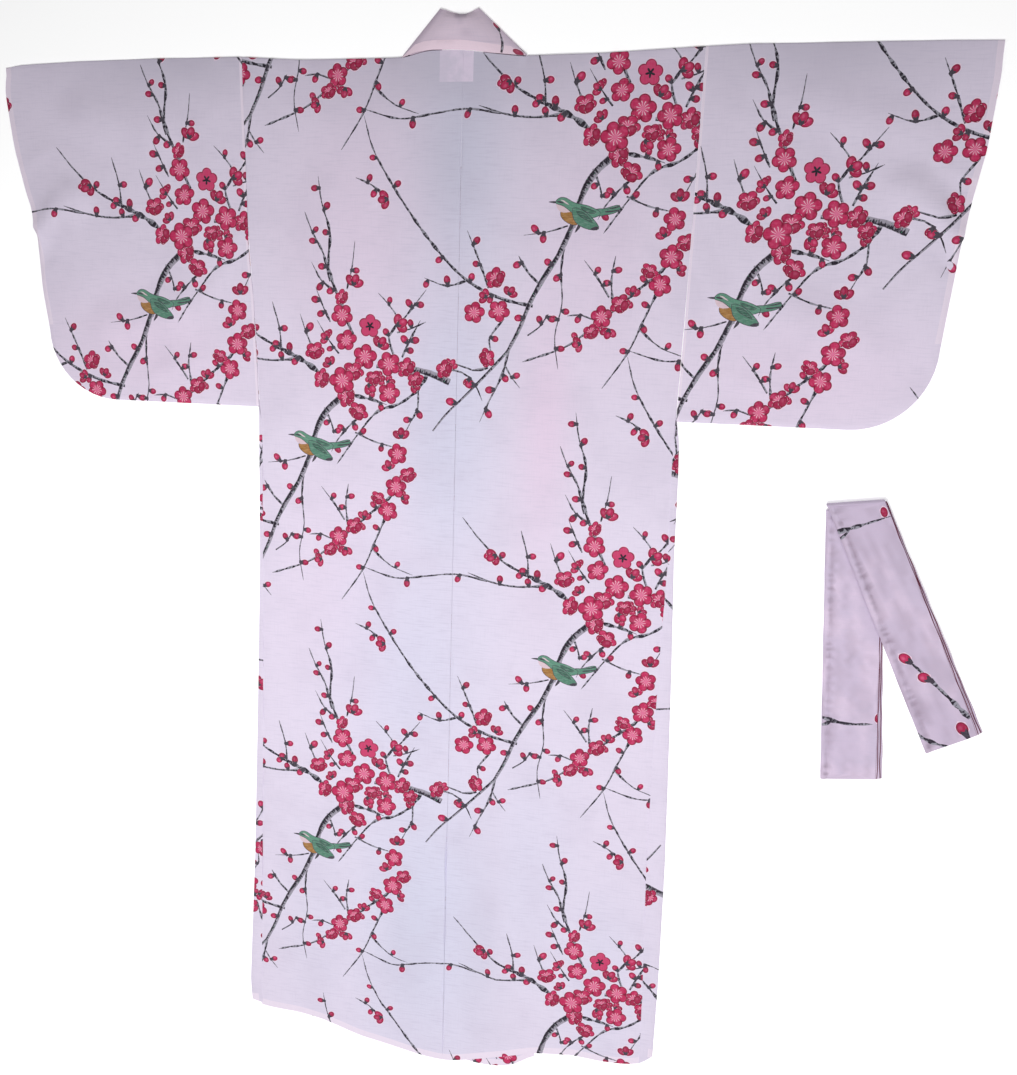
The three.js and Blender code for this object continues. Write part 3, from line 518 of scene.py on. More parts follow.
def add_bloom(motifs, bloom, order):
    """An open flower; one that is seen from low down has two darker petals in front."""
    centre = np.array((bloom.x, bloom.y), float)
    lean = turned(bloom.turn * 3.1)
    axes = lean @ np.diag((1, bloom.tilt)) @ lean.T @ turned(bloom.turn) * bloom.radius
    ring = bloom_ring()
    motifs.append(Motif(bloom.kind, order, placed(ring, centre, axes), centre, axes, chance.random()))
    add_halo(motifs, ring[FEWER_POINTS], centre, axes, BLOOM_HALO)
    if bloom.tilt < 0.85:
        down = lean[:, 1] * -np.sign(lean[1, 1])
        for side in (-1, 1):
            way = turned(34 * side) @ down
            heading = math.degrees(math.atan2(way[1], way[0])) + 90
            add_petal(motifs, centre + way * bloom.radius * 0.44, heading, bloom.radius * 0.98,
                      bloom.radius * 0.72, order + 0.4, DARK_PETAL)


def add_petal(motifs, centre, angle, length, width, order, seed=None):
    axes = turned(angle) @ np.diag((length / 2, width / 2))
    seed = chance.random() if seed is None else seed
    motifs.append(Motif(PETAL, order, placed(oval_ring(), centre, axes), centre, axes, seed))
    add_halo(motifs, oval_ring(6), centre, axes, PETAL_HALO)


def add_calyx(motifs, centre, angle, size, order):
    """Dark cup under a bud or a side flower, with two small points."""
    ring = ((-0.9, -0.5), (0.2, -1.0), (1.3, -0.85), (0.6, 0.0), (1.3, 0.9), (0.2, 1.0), (-0.9, 0.5))
    axes = turned(angle) * size
    motifs.append(Motif(DARK, order, placed(ring, centre, axes), centre, axes, chance.random()))


def add_bud(motifs, stem, angle, size):
    """A round bud on a short stalk that starts on a twig."""
    way = turned(angle)[:, 0]
    size = size * BUD_WEIGHT
    length = size * chance.uniform(1.3, 1.55)
    foot = np.asarray(stem) + way * size * 0.3
    add_petal(motifs, foot + way * length * 0.48, angle, length * 1.08, size * 1.22, BUD_ORDER)
    add_calyx(motifs, foot, angle, size * 0.42, BUD_ORDER + 1)


def add_side_bloom(motifs, centre, angle, length, order):
    centre = np.asarray(centre)
    for index, aside in enumerate((-54, 52, -4)):
        way = turned(angle + aside)[:, 0]
        add_petal(motifs, centre + way * length * 0.52, angle + aside, length * chance.uniform(0.98, 1.12),
                  length * 0.78, order + index)
    add_calyx(motifs, centre + turned(angle)[:, 0] * 1.5, angle, length * 0.24, order + 4)


def add_knot(motifs, centre, angle, size):
    axes = turned(angle) @ np.diag((size * 1.4, size))
    ring = placed(oval_ring(5), centre, axes)
    motifs.append(Motif(DARK, KNOT_ORDER, ring, centre, axes, chance.random()))


def add_twig(motifs, twig, order):
    """Brush strokes of uneven width along a twig, and the buds on it."""
    route = smooth_route(twig.route)
    legs = np.diff(route, axis=0)
    lengths = np.hypot(legs[:, 0], legs[:, 1])
    along = np.concatenate(((0,), np.cumsum(lengths)))
    ways = np.vstack((legs[:1], (legs[1:] + legs[:-1]) / 2, legs[-1:]))
    ways /= np.hypot(ways[:, 0], ways[:, 1])[:, None]
    aside = np.stack((-ways[:, 1], ways[:, 0]), axis=1)
    half = np.interp(along / along[-1], (0, 1), (twig.start / 2, twig.end / 2))
    if twig.kind == TWIG:
        swell = ((0.6, 0.75), (1.0, 1.5))
        half *= TWIG_WEIGHT * np.array([chance.choice(swell[k % 2]) for k in range(len(half))])
        half[-1] = 0.25
    else:
        half *= np.array([chance.choice((0.9, 1.0, 1.08)) for _ in half])
    seed = chance.random()
    for k, (leg, length) in enumerate(zip(legs, lengths)):
        ring = (route[k] + aside[k] * half[k], route[k] - aside[k] * half[k],
                route[k + 1] - aside[k + 1] * half[k + 1], route[k + 1] + aside[k + 1] * half[k + 1])
        way = leg / length
        width = max(half[k], half[k + 1])
        axes = np.stack((way, (-way[1] * width, way[0] * width)), axis=1)
        motifs.append(Motif(twig.kind, order, np.array(ring), route[k] - way * along[k], axes, seed))
    for share, side, size in twig.buds:
        at = share * along[-1]
        place = np.array([np.interp(at, along, route[:, axis]) for axis in (0, 1)])
        way = np.array([np.interp(at, along, ways[:, axis]) for axis in (0, 1)])
        heading = math.degrees(math.atan2(way[1], way[0]))
        add_bud(motifs, place, heading + side * chance.uniform(48, 95), size)
        if chance.random() < 0.7:
            add_knot(motifs, place, heading, size * 0.36)


def draw_repeat():
    """Every patch of one repeat of the print."""
    motifs = []
    for twig in TWIGS:
        add_twig(motifs, twig, BRANCH_ORDER if twig.kind == BRANCH else TWIG_ORDER)
    for x, y, angle, length in SIDE_BLOOMS:
        add_side_bloom(motifs, (x, y), angle, length, SIDE_BLOOM_ORDER)
    for index, bloom in enumerate(BLOOMS):
        add_bloom(motifs, bloom, BLOOM_ORDER + index)
    axes = turned(BIRD_TURN) * BIRD_SCALE
    for kind, order, shade, ring in BIRD:
        ring = rounded(ring)
        patches = [(kind, order, ring)]
        if kind in (GREEN, OCHRE):
            patches.append((DARK, order - 0.5, grown(ring, BIRD_OUTLINE)))
        for patch, level, line in patches:
            line = placed(line, BIRD_PLACE, axes)
            motifs.append(Motif(patch, level, line, BIRD_PLACE, axes * FEATHER_SCALE, shade))
    return motifs


REPEAT = draw_repeat()


def copies(low, high, first, turn=0):
    """The print's patches that touch a box, for a star flower at first."""
    turning = turned(turn)
    rings = [motif.ring @ turning.T for motif in REPEAT]
    spans = np.array([(*ring.min(0), *ring.max(0)) for ring in rings])
    for i in range(-COLUMNS_EACH_WAY, COLUMNS_EACH_WAY + 1):
        for j in range(-REPEATS_EACH_WAY, REPEATS_EACH_WAY + 1):
            step = turning @ np.array((REPEAT_ACROSS * i, REPEAT_DROP * -i + REPEAT_ALONG * j))
            origin = np.array(first) + step
            inside = ((spans[:, 2] + origin[0] > low[0]) & (spans[:, 0] + origin[0] < high[0])
                      & (spans[:, 3] + origin[1] > low[1]) & (spans[:, 1] + origin[1] < high[1]))
            for index in np.nonzero(inside)[0]:
                motif = REPEAT[index]
                yield motif._replace(ring=rings[index] + origin, axes=turning @ motif.axes,
                                     centre=turning @ np.asarray(motif.centre) + origin)


def plainer(motifs, hidden):
    """Fewer points, and no pale edges, for the patches whose centre lies in a hidden place."""
    for motif in motifs:
        if not hidden(motif.ring.mean(0)):
            yield motif
        elif motif.kind in (FLOWER, BACK_FLOWER):
            yield motif._replace(ring=motif.ring[FEWER_POINTS])
        elif motif.kind == PETAL:
            yield motif._replace(ring=motif.centre + (motif.ring[::2] - motif.centre) * 1.3)
        elif motif.kind != HALO:
            yield motif


# Cloth panels
def to_segments(points, line):
    """Distance from points to a polyline."""
    best = np.full(len(points), 1e9)
    for a, b in zip(line, line[1:]):
        run = b - a
        share = np.clip(((points - a) @ run) / max(run @ run, 1e-9), 0, 1)
        gap = points - (a + share[:, None] * run)
        best = np.minimum(best, np.hypot(gap[:, 0], gap[:, 1]))
    return best


def lattice(low, high, step):
    """Points all over a box, in rows that are set off from each other."""
    xs = np.arange(low[0] + step / 2, high[0], step)
    ys = np.arange(low[1] + step / 2, high[1], step * 0.87)
    grid = [np.stack((xs + (row % 2) * step / 2, np.full(len(xs), y)), 1) for row, y in enumerate(ys)]
    return np.concatenate(grid)


def cut_panel(outline, step, motifs, zones=(), lines=()):
    """Cut a flat panel into triangles along its outline, its fold lines, its zones and its print.

    Returns the flat points, the triangles, and for each corner of a triangle its place in the
    patch of print that it lies in (u, v, kind) and that patch's seed with the cloth's zone.
    """
    outline = anticlockwise(outline)
    filling = lattice(outline.min(0), outline.max(0), step)
    for line in (*lines, np.concatenate((outline, outline[:1]))):
        filling = filling[to_segments(filling, line) > step * 0.3]
    rings = [outline] + [anticlockwise(ring) for _, ring in zones]
    rings += [anticlockwise(motif.ring) for motif in motifs]
    points = np.concatenate([*rings, *lines, filling])
    faces, edges, start = [], [], 0
    for ring in rings:
        faces.append(list(range(start, start + len(ring))))
        start += len(ring)
    for line in lines:
        edges += [(k, k + 1) for k in range(start, start + len(line) - 1)]
        start += len(line)
    flat, _, triangles, _, _, owners = delaunay_2d_cdt(
        [Vector(p) for p in points], edges, faces, 0, 1e-3, True)
    flat = np.array([tuple(p) for p in flat])
    first_motif = 1 + len(zones)
    orders = [motif.order + 0.0001 * index for index, motif in enumerate(motifs)]
    kept, tops, zone_of = [], [], []
    for triangle, owner in zip(triangles, owners):
        if 0 in owner:
            patches = [face - first_motif for face in owner if face >= first_motif]
            kept.append(triangle)
            tops.append(max(patches, key=orders.__getitem__, default=-1))
            zone_of.append(max([zones[face - 1][0] for face in owner if 0 < face < first_motif], default=0))
    kept, tops = np.array(kept), np.array(tops)
    ink = np.zeros((len(kept), 3, 3))
    tone = np.zeros((len(kept), 3, 3))
    has = tops >= 0
    if has.any():
        chosen = [motifs[top] for top in tops[has]]
        place = flat[kept[has]] - np.array([motif.centre for motif in chosen])[:, None, :]
        inverses = np.linalg.inv(np.array([motif.axes for motif in chosen]))
        ink[has, :, :2] = np.einsum("nij,nkj->nki", inverses, place)
        ink[has, :, 2] = np.array([motif.kind for motif in chosen])[:, None]
        tone[has, :, 0] = np.array([motif.seed for motif in chosen])[:, None]
    tone[:, :, 2] = np.array(zone_of)[:, None]
    used, kept = np.unique(kept, return_inverse=True)
    return flat[used], kept.reshape(-1, 3), ink, tone


class Shell:
    """Thin closed cloth, gathered from surfaces that are given by their outer face."""

    def __init__(self):
        self.surfaces = []
        self.count = 0

    def add(self, space, triangles, ink, tone, field, thread, thickness=CLOTH, flip=False):
        """Take a surface and give it a wall; field holds the cool, pink and grey of each point, of which
        the cool is painted light and the grey painted shade with a few smudges.
        """
        if flip:
            triangles, ink, tone = triangles[:, ::-1], ink[:, ::-1], tone[:, ::-1]
        a, b, c = (space[triangles[:, k]] for k in range(3))
        facing = np.cross(b - a, c - a)
        normals = np.zeros_like(space)
        for k in range(3):
            np.add.at(normals, triangles[:, k], facing)
        normals /= np.maximum(np.linalg.norm(normals, axis=1), 1e-9)[:, None]
        inner = space - normals * thickness
        inner[:, 2] = np.maximum(inner[:, 2], LEAST_HEIGHT)
        count = len(space)
        edges = np.concatenate([triangles[:, (k, (k + 1) % 3)] for k in range(3)])
        keys = edges[:, 0] * (count + 1) + edges[:, 1]
        back = edges[:, 1] * (count + 1) + edges[:, 0]
        free = ~np.isin(keys, back)
        owner = np.tile(np.arange(len(triangles)), 3)[free]
        corner = np.repeat(np.arange(3), len(triangles))[free]
        p, q = edges[free].T
        rims = np.concatenate((np.stack((q, p, p + count), 1), np.stack((q, p + count, q + count), 1)))
        at_p = ink[owner, corner]
        rim_ink = np.tile(np.stack((ink[owner, (corner + 1) % 3], at_p, at_p), 1), (2, 1, 1))
        rim_tone = np.tile(tone[owner, :1], (2, 3, 1))
        self.surfaces.append((
            np.concatenate((space, inner)),
            np.concatenate((triangles, triangles[:, ::-1] + count, rims)) + self.count,
            np.concatenate((ink, ink[:, ::-1], rim_ink)),
            np.concatenate((tone, tone[:, ::-1], rim_tone)),
            np.tile(field, (2, 1)),
            np.tile(np.pad(thread, ((0, 0), (0, 1))), (2, 1))))
        self.count += 2 * count

    def build(self, name, node, material):
        points, triangles, *layers = (np.concatenate(parts) for parts in zip(*self.surfaces))
        points = (points + (ZERO_X, ZERO_Y, 0)) * MM
        mesh = bpy.data.meshes.new(name)
        mesh.from_pydata(points.tolist(), [], triangles.tolist())
        domains = {"ink": "CORNER", "tone": "CORNER", "field": "POINT", "thread": "POINT"}
        for (label, domain), values in zip(domains.items(), layers):
            attribute = mesh.attributes.new(label, "FLOAT_VECTOR", domain)
            attribute.data.foreach_set("vector", values.reshape(-1).astype(np.float32))
        mesh.shade_smooth()
        mesh.set_sharp_from_angle(angle=math.radians(50))
        mesh.materials.append(material)
        piece = bpy.data.objects.new(name, mesh)
        bpy.context.scene.collection.objects.link(piece)
        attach(piece, "root")
        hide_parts(node)
        return piece


def blob(x, y, cx, cy, rx, ry):
    return np.exp(-(((x - cx) / rx) ** 2 + ((y - cy) / ry) ** 2))


def ridge(place, middle, half):
    return np.exp(-((place - middle) / half) ** 2)


def cloth_field(x, y):
    """Cool, pink and grey shares of the cloth's colour at a place; the cool is painted light and the grey
    painted shade.
    """
    shares = []
    for rows in (COOL_LIGHT_PATCHES, PINK_PATCHES, PAINTED_SHADE_PATCHES):
        shares.append(np.max([share * blob(x, y, *row) for *row, share in rows], axis=0))
    return np.stack(shares, 1)


def back_top(x, y):
    """Height of the upper face of the back."""
    layer = 1 + np.maximum(overlap_lift(x), shoulder_lift(y))
    return WALL + LAYER * layer + crease_height(x, y)


def front_bottom(side, x, y):
    """Height of the outer face of a front, which looks down."""
    if side == "left":
        return np.zeros(np.shape(x))
    return LAYER * overlap_lift(x) * (1 - shoulder_lift(y))


def side_edge(side, y, column):
    return between(SIDES[side], "y", column, y)


def wrap_reach(side, y):
    """How much cloth of the front lies past the side fold, below the sleeves."""
    strip = side_edge(side, y, "fold") - side_edge(side, y, "seam")
    return (np.pi * WRAP_RADIUS + strip) * smooth_step((WRAP_START - y) / WRAP_FADE)


def band(line, width, zone):
    """Zone strip between a line and the same line moved by width, given as (dx, dy)."""
    line = np.asarray(line)
    return zone, np.concatenate((line, (line + np.asarray(width))[::-1]))


def columns(*parts):
    """Points from their coordinates, of which some may be single numbers."""
    return np.stack(np.broadcast_arrays(*parts), 1)


def front_to_flat(x, y):
    """Places of a front, in the unfolded strip of cloth."""
    return columns(x, 2 * shoulder_line(x) + FOLD_ARC - y)


def body_outline(side, sign):
    """One unfolded body length, all round from the back hem by way of the front hem to the neck."""
    hem_x = sign * np.linspace(GAP / 2, side_edge(side, BACK_HEM_SIDE, "seam"), 24)
    rows = np.linspace(BACK_HEM_SIDE + 12, -6, 90)
    front_rows = np.linspace(-6, FRONT_HEM_SIDE, 90)
    reach = sign * (side_edge(side, front_rows, "fold") + wrap_reach(side, front_rows))
    hem_reach = np.linspace(reach[-1], sign * GAP / 2, 36)
    hem_y = between(FRONT_HEM[side], "x", "y", np.clip(hem_reach, -335, 335))
    past_fold = np.abs(hem_reach) - side_edge(side, FRONT_HEM_SIDE, "fold")
    past_fold = np.clip(past_fold / wrap_reach(side, FRONT_HEM_SIDE), 0, 1)
    hem_y = hem_y + smooth_step(past_fold) * (BACK_HEM_SIDE + 5 - hem_y)
    inner_rows = np.linspace(hem_y[-1] + 15, -8, 80)
    inner = sign * np.maximum(GAP / 2, -between(COLLAR_SEAM, "y", "x", inner_rows))
    neck_x = sign * np.linspace(NECK_HALF, GAP / 2, 9)
    return np.concatenate((
        columns(hem_x, between(BACK_HEM, "x", "y", hem_x)),
        columns(sign * side_edge(side, rows, "seam"), rows),
        front_to_flat(reach, front_rows), front_to_flat(hem_reach, hem_y),
        front_to_flat(inner, inner_rows), columns(neck_x, shoulder_line(neck_x))))


def body_lines(side, sign):
    """Lines that a body length folds and dips along: shoulder, side fold and seams."""
    across = sign * np.arange(NECK_HALF - 7, PAST_SIDE, LINE_STEP)
    lines = [columns(across, shoulder_line(across) + past) for past in np.linspace(0, FOLD_ARC, 7)]
    down = np.arange(-445, PAST_HEM, -LINE_STEP)
    for past in np.linspace(0, np.pi * WRAP_RADIUS, 5):
        lines.append(front_to_flat(sign * (side_edge(side, down, "fold") + past), down))
    down = np.arange(-9, PAST_HEM, -LINE_STEP)
    for inset in SEAM_LINES:
        lines.append(columns(sign * (GAP / 2 + inset), down))
        lines.append(columns(sign * (side_edge(side, down, "seam") - inset), down))
    return lines


def body_zones(side, sign):
    """Hems of the back and the front, and the label seen through the cloth."""
    wide = sign * np.linspace(-5, PAST_SIDE, 30)
    back_hem = columns(wide, between(BACK_HEM, "x", "y", np.clip(wide, -320, 320)))
    front_hem = front_to_flat(wide, between(FRONT_HEM[side], "x", "y", wide))
    label = ((LABEL_LEFT, LABEL_BOTTOM), (LABEL_RIGHT, LABEL_BOTTOM), (LABEL_RIGHT, 12), (LABEL_LEFT, 12))
    return [band(back_hem - (0, HEM_MARGIN), (0, HEM_WIDTH + HEM_MARGIN), HEM_ZONE),
            band(front_hem + (0, HEM_MARGIN), (0, -HEM_WIDTH - HEM_MARGIN), HEM_ZONE),
            (LABEL_ZONE, label)]


def body_half(side):
    """One body length: back, round fold over the shoulder, front, and its wrapped side strip."""
    sign = -1 if side == "left" else 1

    def hidden(place):
        return HIDDEN_FROM < place[1] < HIDDEN_TO and abs(place[0]) < HIDDEN_HALF

    outline = body_outline(side, sign)
    print_here = copies(outline.min(0), outline.max(0), FIRST_STAR)
    motifs = [motif for motif in plainer(print_here, hidden)
              if motif.order < BIRD_ORDER or motif.centre[1] > LOWEST_BIRD]
    flat, triangles, ink, tone = cut_panel(outline, GRAIN["body"], motifs, body_zones(side, sign),
                                           body_lines(side, sign))
    x_flat, y_flat = flat.T
    shoulder = shoulder_line(x_flat)
    past = y_flat - shoulder
    along, up = fold_over(past, FOLD_RADIUS)
    y = shoulder + along
    fold = side_edge(side, y, "fold")
    over = np.where(past > FOLD_ARC / 2, np.abs(x_flat) - fold, -1)
    aside, level = fold_over(over, WRAP_RADIUS)
    x = np.where(over > 0, sign * (fold + aside), x_flat)
    x = np.where((np.abs(x) < GAP) & (y > NECK_JOIN_Y) & (past < 0), sign * NECK_JOIN_GAP, x)
    top = back_top(x, y) + rumple(x, y, 90, 0.9)
    middle_dip = SEAM_DIP * np.interp(y, (-700, -200, -60, -30), (0.3, 0.8, 0.8, 0))
    top = top - middle_dip * smooth_step(1 - (np.abs(x) - GAP / 2) / SEAM_DIP_WIDTH)
    seam = side_edge(side, y, "seam")
    top = top - SEAM_DIP * smooth_step(1 - (seam - np.abs(x)) / SEAM_DIP_WIDTH) * (np.abs(x) <= seam)
    bottom = front_bottom(side, x, y)
    z = (top + bottom) / 2 + up * (top - bottom) / 2
    strip_top = WALL + LAYER + 0.25 * rumple(x, y, 40, 1.0)
    z = np.where(over > 0, z + (1 - level) / 2 * (strip_top - z), z)
    shell = Shell()
    shell.add(columns(x, y, z), triangles, ink, tone, cloth_field(x, y), flat)
    piece = shell.build(f"body_{side}_cloth", f"body_{side}", cloth)


def gusset(side):
    """Front overlap strip, pointed under the collar, which lies face down."""
    sign = 1 if side == "left" else -1
    rows = np.linspace(GUSSET_START, -1440, 80)
    below = np.clip((COLLAR_END - rows) / (COLLAR_END + 1435), 0, 1)
    free = GUSSET_TOP_WIDTH + (GUSSET_HEM_WIDTH - GUSSET_TOP_WIDTH) * below
    under_collar = np.minimum(free, between(COLLAR_SEAM, "y", "x", rows) - GAP / 2)
    edge = np.maximum(np.where(rows > COLLAR_END, under_collar, free), GAP / 2 + 0.4)
    hem_x = sign * np.linspace(GUSSET_HEM_WIDTH, GAP / 2, 16)
    outline = np.concatenate((
        columns(sign * edge, rows), columns(hem_x, between(FRONT_HEM[side], "x", "y", hem_x)),
        columns(sign * GAP / 2, rows[::-1])))
    wide = sign * np.linspace(-5, 160, 16)
    hem = columns(wide, between(FRONT_HEM[side], "x", "y", np.clip(wide, -152, 152)))
    zones = [band(hem - (0, HEM_MARGIN), (0, HEM_WIDTH + HEM_MARGIN), HEM_ZONE)]
    print_here = copies(outline.min(0), outline.max(0), GUSSET_STAR[side])
    shown = plainer(print_here, lambda place: place[1] > GUSSET_HIDDEN_ABOVE)
    flat, triangles, ink, tone = cut_panel(outline, GRAIN["gusset"], list(shown), zones)
    x, y = flat.T
    z = LAYER if side == "right" else 0.0
    shell = Shell()
    shell.add(columns(x, y, z), triangles, ink, tone, cloth_field(x, y), flat, flip=True)
    piece = shell.build(f"gusset_{side}_cloth", f"gusset_{side}", cloth)


def sleeve(side):
    """One strip folded at the shoulder line and closed round its lower edges."""
    sign = -1 if side == "left" else 1
    table = SLEEVES[side]
    bottom = table["bottom"]

    def top_line(x):
        return np.interp(x, table["top_x"], table["top_y"])

    def inner_edge(y):
        return between(table, "inner_y", "inner_x", y)

    def cuff_edge(y):
        return between(table, "cuff_y", "cuff_x", y)

    inner_rows = np.linspace(-6, bottom, 32)
    inner = columns(sign * inner_edge(inner_rows), inner_rows)
    turn = np.radians(np.linspace(0, 90, 13))
    corner = columns(sign * (cuff_edge(bottom) - table["corner_across"] * (1 - np.sin(turn))),
                     table["corner_y"] - (table["corner_y"] - bottom) * np.cos(turn))
    cuff_rows = np.linspace(table["corner_y"] + 8, -14, 36)
    cuff = columns(sign * cuff_edge(cuff_rows), cuff_rows)
    back_line = np.concatenate((inner, corner, cuff))
    front_line = back_line[::-1].copy()
    front_line[:, 1] = 2 * top_line(front_line[:, 0]) + FOLD_ARC - front_line[:, 1]
    outline = np.concatenate((back_line, front_line))
    closed = back_line[len(inner) - 1:]
    closed = closed[closed[:, 1] < table["open_to"]]

    across = sign * np.arange(304, 700, LINE_STEP)
    lines = [columns(across, top_line(across) + past) for past in np.linspace(0, FOLD_ARC, 7)]
    for inset in (1.2, 3.0, SLEEVE_CLOSE):
        ring = closed.copy()
        ring[:, 0] -= sign * inset * (ring[:, 1] > bottom + 2)
        ring[:, 1] += inset * (ring[:, 1] < table["corner_y"])
        lines.append(ring)
    for inset in SEAM_LINES:
        lines.append(inner + (sign * inset, 0))
    up_cuff = np.concatenate((cuff, ((cuff[-1, 0], 30),)))
    up_inner = np.concatenate((((inner[0, 0], 30),), inner))
    zones = [band(up_cuff + (sign * 6, 0), (-sign * 14, 0), HEM_ZONE),
             band(up_inner - (sign * 6, 0), (sign * (6 + SLEEVE_STRIP), 0), HEM_ZONE)]
    print_here = copies(outline.min(0), outline.max(0), SLEEVE_STAR[side])
    shown = plainer(print_here, lambda place: place[1] > HIDDEN_FROM)
    flat, triangles, ink, tone = cut_panel(outline, GRAIN["sleeve"], list(shown), zones, lines)
    x, y_flat = flat.T
    shoulder = top_line(x)
    along, up = fold_over(y_flat - shoulder, FOLD_RADIUS)
    y = shoulder + along
    from_inner = np.abs(x) - inner_edge(y)
    near_body = np.clip(1 - from_inner / SLEEVE_FADE, 0, 1)
    top = WALL + LAYER * (1 + shoulder_lift(y) * near_body) + crease_height(x, y)
    top = top + rumple(x, y, 80, 1.0)
    closing = smooth_step(1 - to_segments(columns(x, y), closed) / SLEEVE_CLOSE) ** 2
    top = top - (top - SLEEVE_EDGE_HEIGHT) * closing
    top = top - SEAM_DIP * smooth_step(1 - from_inner / SEAM_DIP_WIDTH)
    shell = Shell()
    shell.add(columns(x, y, top / 2 + up * top / 2), triangles, ink, tone, cloth_field(x, y), flat)
    piece = shell.build(f"sleeve_{side}_cloth", f"sleeve_{side}", cloth)


def collar_front(sign, rows, base):
    """Stations of the collar down one front: foot, top and how far the band swells."""
    x = between(COLLAR_SEAM, "y", "x", rows)
    near = between(COLLAR_SEAM, "y", "x", rows + 20)
    length = np.hypot(20, x - near)
    height = base * (1 - shoulder_lift(rows))
    return columns(sign * (x + GAP), rows, height, sign * (x + GAP + COLLAR_WIDTH * 20 / length),
                   rows + COLLAR_WIDTH * (x - near) / length, height, 0.0)


def collar_crease(index, angles):
    """Stations round the fold where the collar turns over, at one end of its run by the neck."""
    seam, outer = (np.array((COLLAR_BACK[f"{edge}_x"][index], COLLAR_BACK[f"{edge}_y"][index]))
                   for edge in ("seam", "top"))
    way = outer - seam
    across = np.array((way[1], -way[0])) / np.hypot(*way)
    across *= np.sign(across[0] * seam[0])
    angles = np.radians(angles)
    shift = CREASE_RADIUS * np.cos(angles)[:, None] * across
    height = (WALL / 2 + LAYER + CREASE_RADIUS * np.sin(angles))[:, None]
    return np.hstack((seam + shift, height, outer + shift, height, 0 * height))


def collar_behind_neck(count):
    last = len(COLLAR_BACK["seam_x"]) - 1
    shares = np.linspace(1, last - 1, count)
    row = {key: np.interp(shares, range(last + 1), values) for key, values in COLLAR_BACK.items()}
    height = WALL + 2 * LAYER
    return columns(row["seam_x"], row["seam_y"], height, row["top_x"], row["top_y"], height,
                   row["swell"])


def collar_shade(x, y, neck_start, neck_end):
    """Painted shade on the band behind the neck, in its creases, its hollow and along its inner edge, and a
    smudge.
    """
    middle = (neck_start + neck_end) / 2
    left_crease = 1.25 * np.exp(-np.abs(x - neck_start + 12) / 7)
    right_crease = 0.7 * np.exp(-np.abs(x - neck_end - 12) / 5)
    hollow = 1 - ((x - middle) / 20) ** 2
    dip = 1.1 * smooth_step((y - (COLLAR_WIDTH - 13 * hollow)) / 5) * (hollow > 0)
    on_neck = (x > neck_start - 12) & (x < neck_end + 12)
    edge_line = 0.6 * ridge(y, COLLAR_BAND, 0.9) * on_neck
    smudge = 0.7 * blob(x, y, middle + 8, 22, 8, 5)
    return np.max((left_crease, right_crease, dip, edge_line, smudge), axis=0)


def collar():
    """One folded band: up the left front, over a crease, round the neck and down the right."""
    front_rows = np.linspace(COLLAR_END, -12, 46)
    turn = (-90, -60, -30, 0, 30, 60, 90)
    parts = [collar_front(1, front_rows, 0.0), collar_crease(0, turn), collar_behind_neck(31),
             collar_crease(-1, turn[::-1]), collar_front(-1, front_rows[::-1], LAYER)]
    stations = np.concatenate(parts)
    middle = (stations[:, :2] + stations[:, 3:5]) / 2
    steps = np.hypot(*np.diff(middle, axis=0).T)
    along = np.concatenate(((0,), np.cumsum(np.maximum(steps, np.abs(np.diff(stations[:, 2]))))))
    outline = np.concatenate((columns(along, 0.0), columns(along[::-1], COLLAR_WIDTH)))
    _, left_turn, behind_neck, right_turn, _ = np.split(along, np.cumsum([len(p) for p in parts[:-1]]))
    neck_start, neck_end = behind_neck[0], behind_neck[-1]
    lines = [columns(along, height) for height in (5, 13.2, 14, 14.8, 24, 34, 43, 49, 52)]
    for place in (*left_turn, *right_turn):
        lines.append(columns(place, np.array((-1.0, COLLAR_WIDTH + 1))))
    zones = [(HEM_ZONE, ((neck_start - 14, -2), (neck_end + 8, -2), (neck_end + 8, COLLAR_BAND - 4),
                         (neck_start + 40, COLLAR_BAND), (neck_start - 8, COLLAR_BAND - 1)))]
    everything = copies(outline.min(0), outline.max(0), COLLAR_STAR, 90)
    motifs = [motif for motif in plainer(everything, lambda place: True)
              if motif.ring[:, 0].max() < neck_start - 15 or motif.ring[:, 0].min() > neck_end + 14]
    add_twig(motifs, Twig(1.5, 1.3, ((0.96, 0, 4),), (
        (neck_end - 6, 1), (neck_end + 1, 12), (neck_end + 7, 22), (neck_end + 12, 30))), TWIG_ORDER)
    add_petal(motifs, (neck_end + 9, 3), 40, 8.5, 7.5, SIDE_BLOOM_ORDER, DARK_PETAL)
    flat, triangles, ink, tone = cut_panel(outline, GRAIN["collar"], motifs, zones, lines)
    place = np.array([np.interp(flat[:, 0], along, stations[:, k]) for k in range(7)]).T
    across = flat[:, 1] / COLLAR_WIDTH
    swelling = np.interp(across, (0, 0.12, 0.35, 0.7, 0.9, 1), (0, 0.35, 0.75, 1, 0.75, -0.25))
    space = place[:, :3] + across[:, None] * (place[:, 3:6] - place[:, :3])
    space[:, 2] += place[:, 6] * swelling
    field = np.zeros((len(flat), 3))
    field[:, 2] = collar_shade(*flat.T, neck_start, neck_end)
    shell = Shell()
    shell.add(space, triangles, ink, tone, field, flat, COLLAR_THICKNESS)
    piece = shell.build("collar_cloth", "collar", collar_cloth)


def neck_label():
    """Blank woven label under the back, with a doubled strip along its top edge."""
    xs = np.linspace(LABEL_LEFT, LABEL_RIGHT, 5)
    outline = np.concatenate((columns(xs, LABEL_BOTTOM), columns(xs[::-1], LABEL_TOP)))
    zones = [band(outline[5:] + (0, 1), (0, -5), HEM_ZONE)]
    flat, triangles, ink, tone = cut_panel(outline, GRAIN["label"], [], zones)
    shell = Shell()
    shell.add(columns(*flat.T, WALL + LAYER), triangles, ink, tone, np.zeros((len(flat), 3)), flat,
              thickness=0.5)
    piece = shell.build("label_cloth", "neck_label", label_cloth)
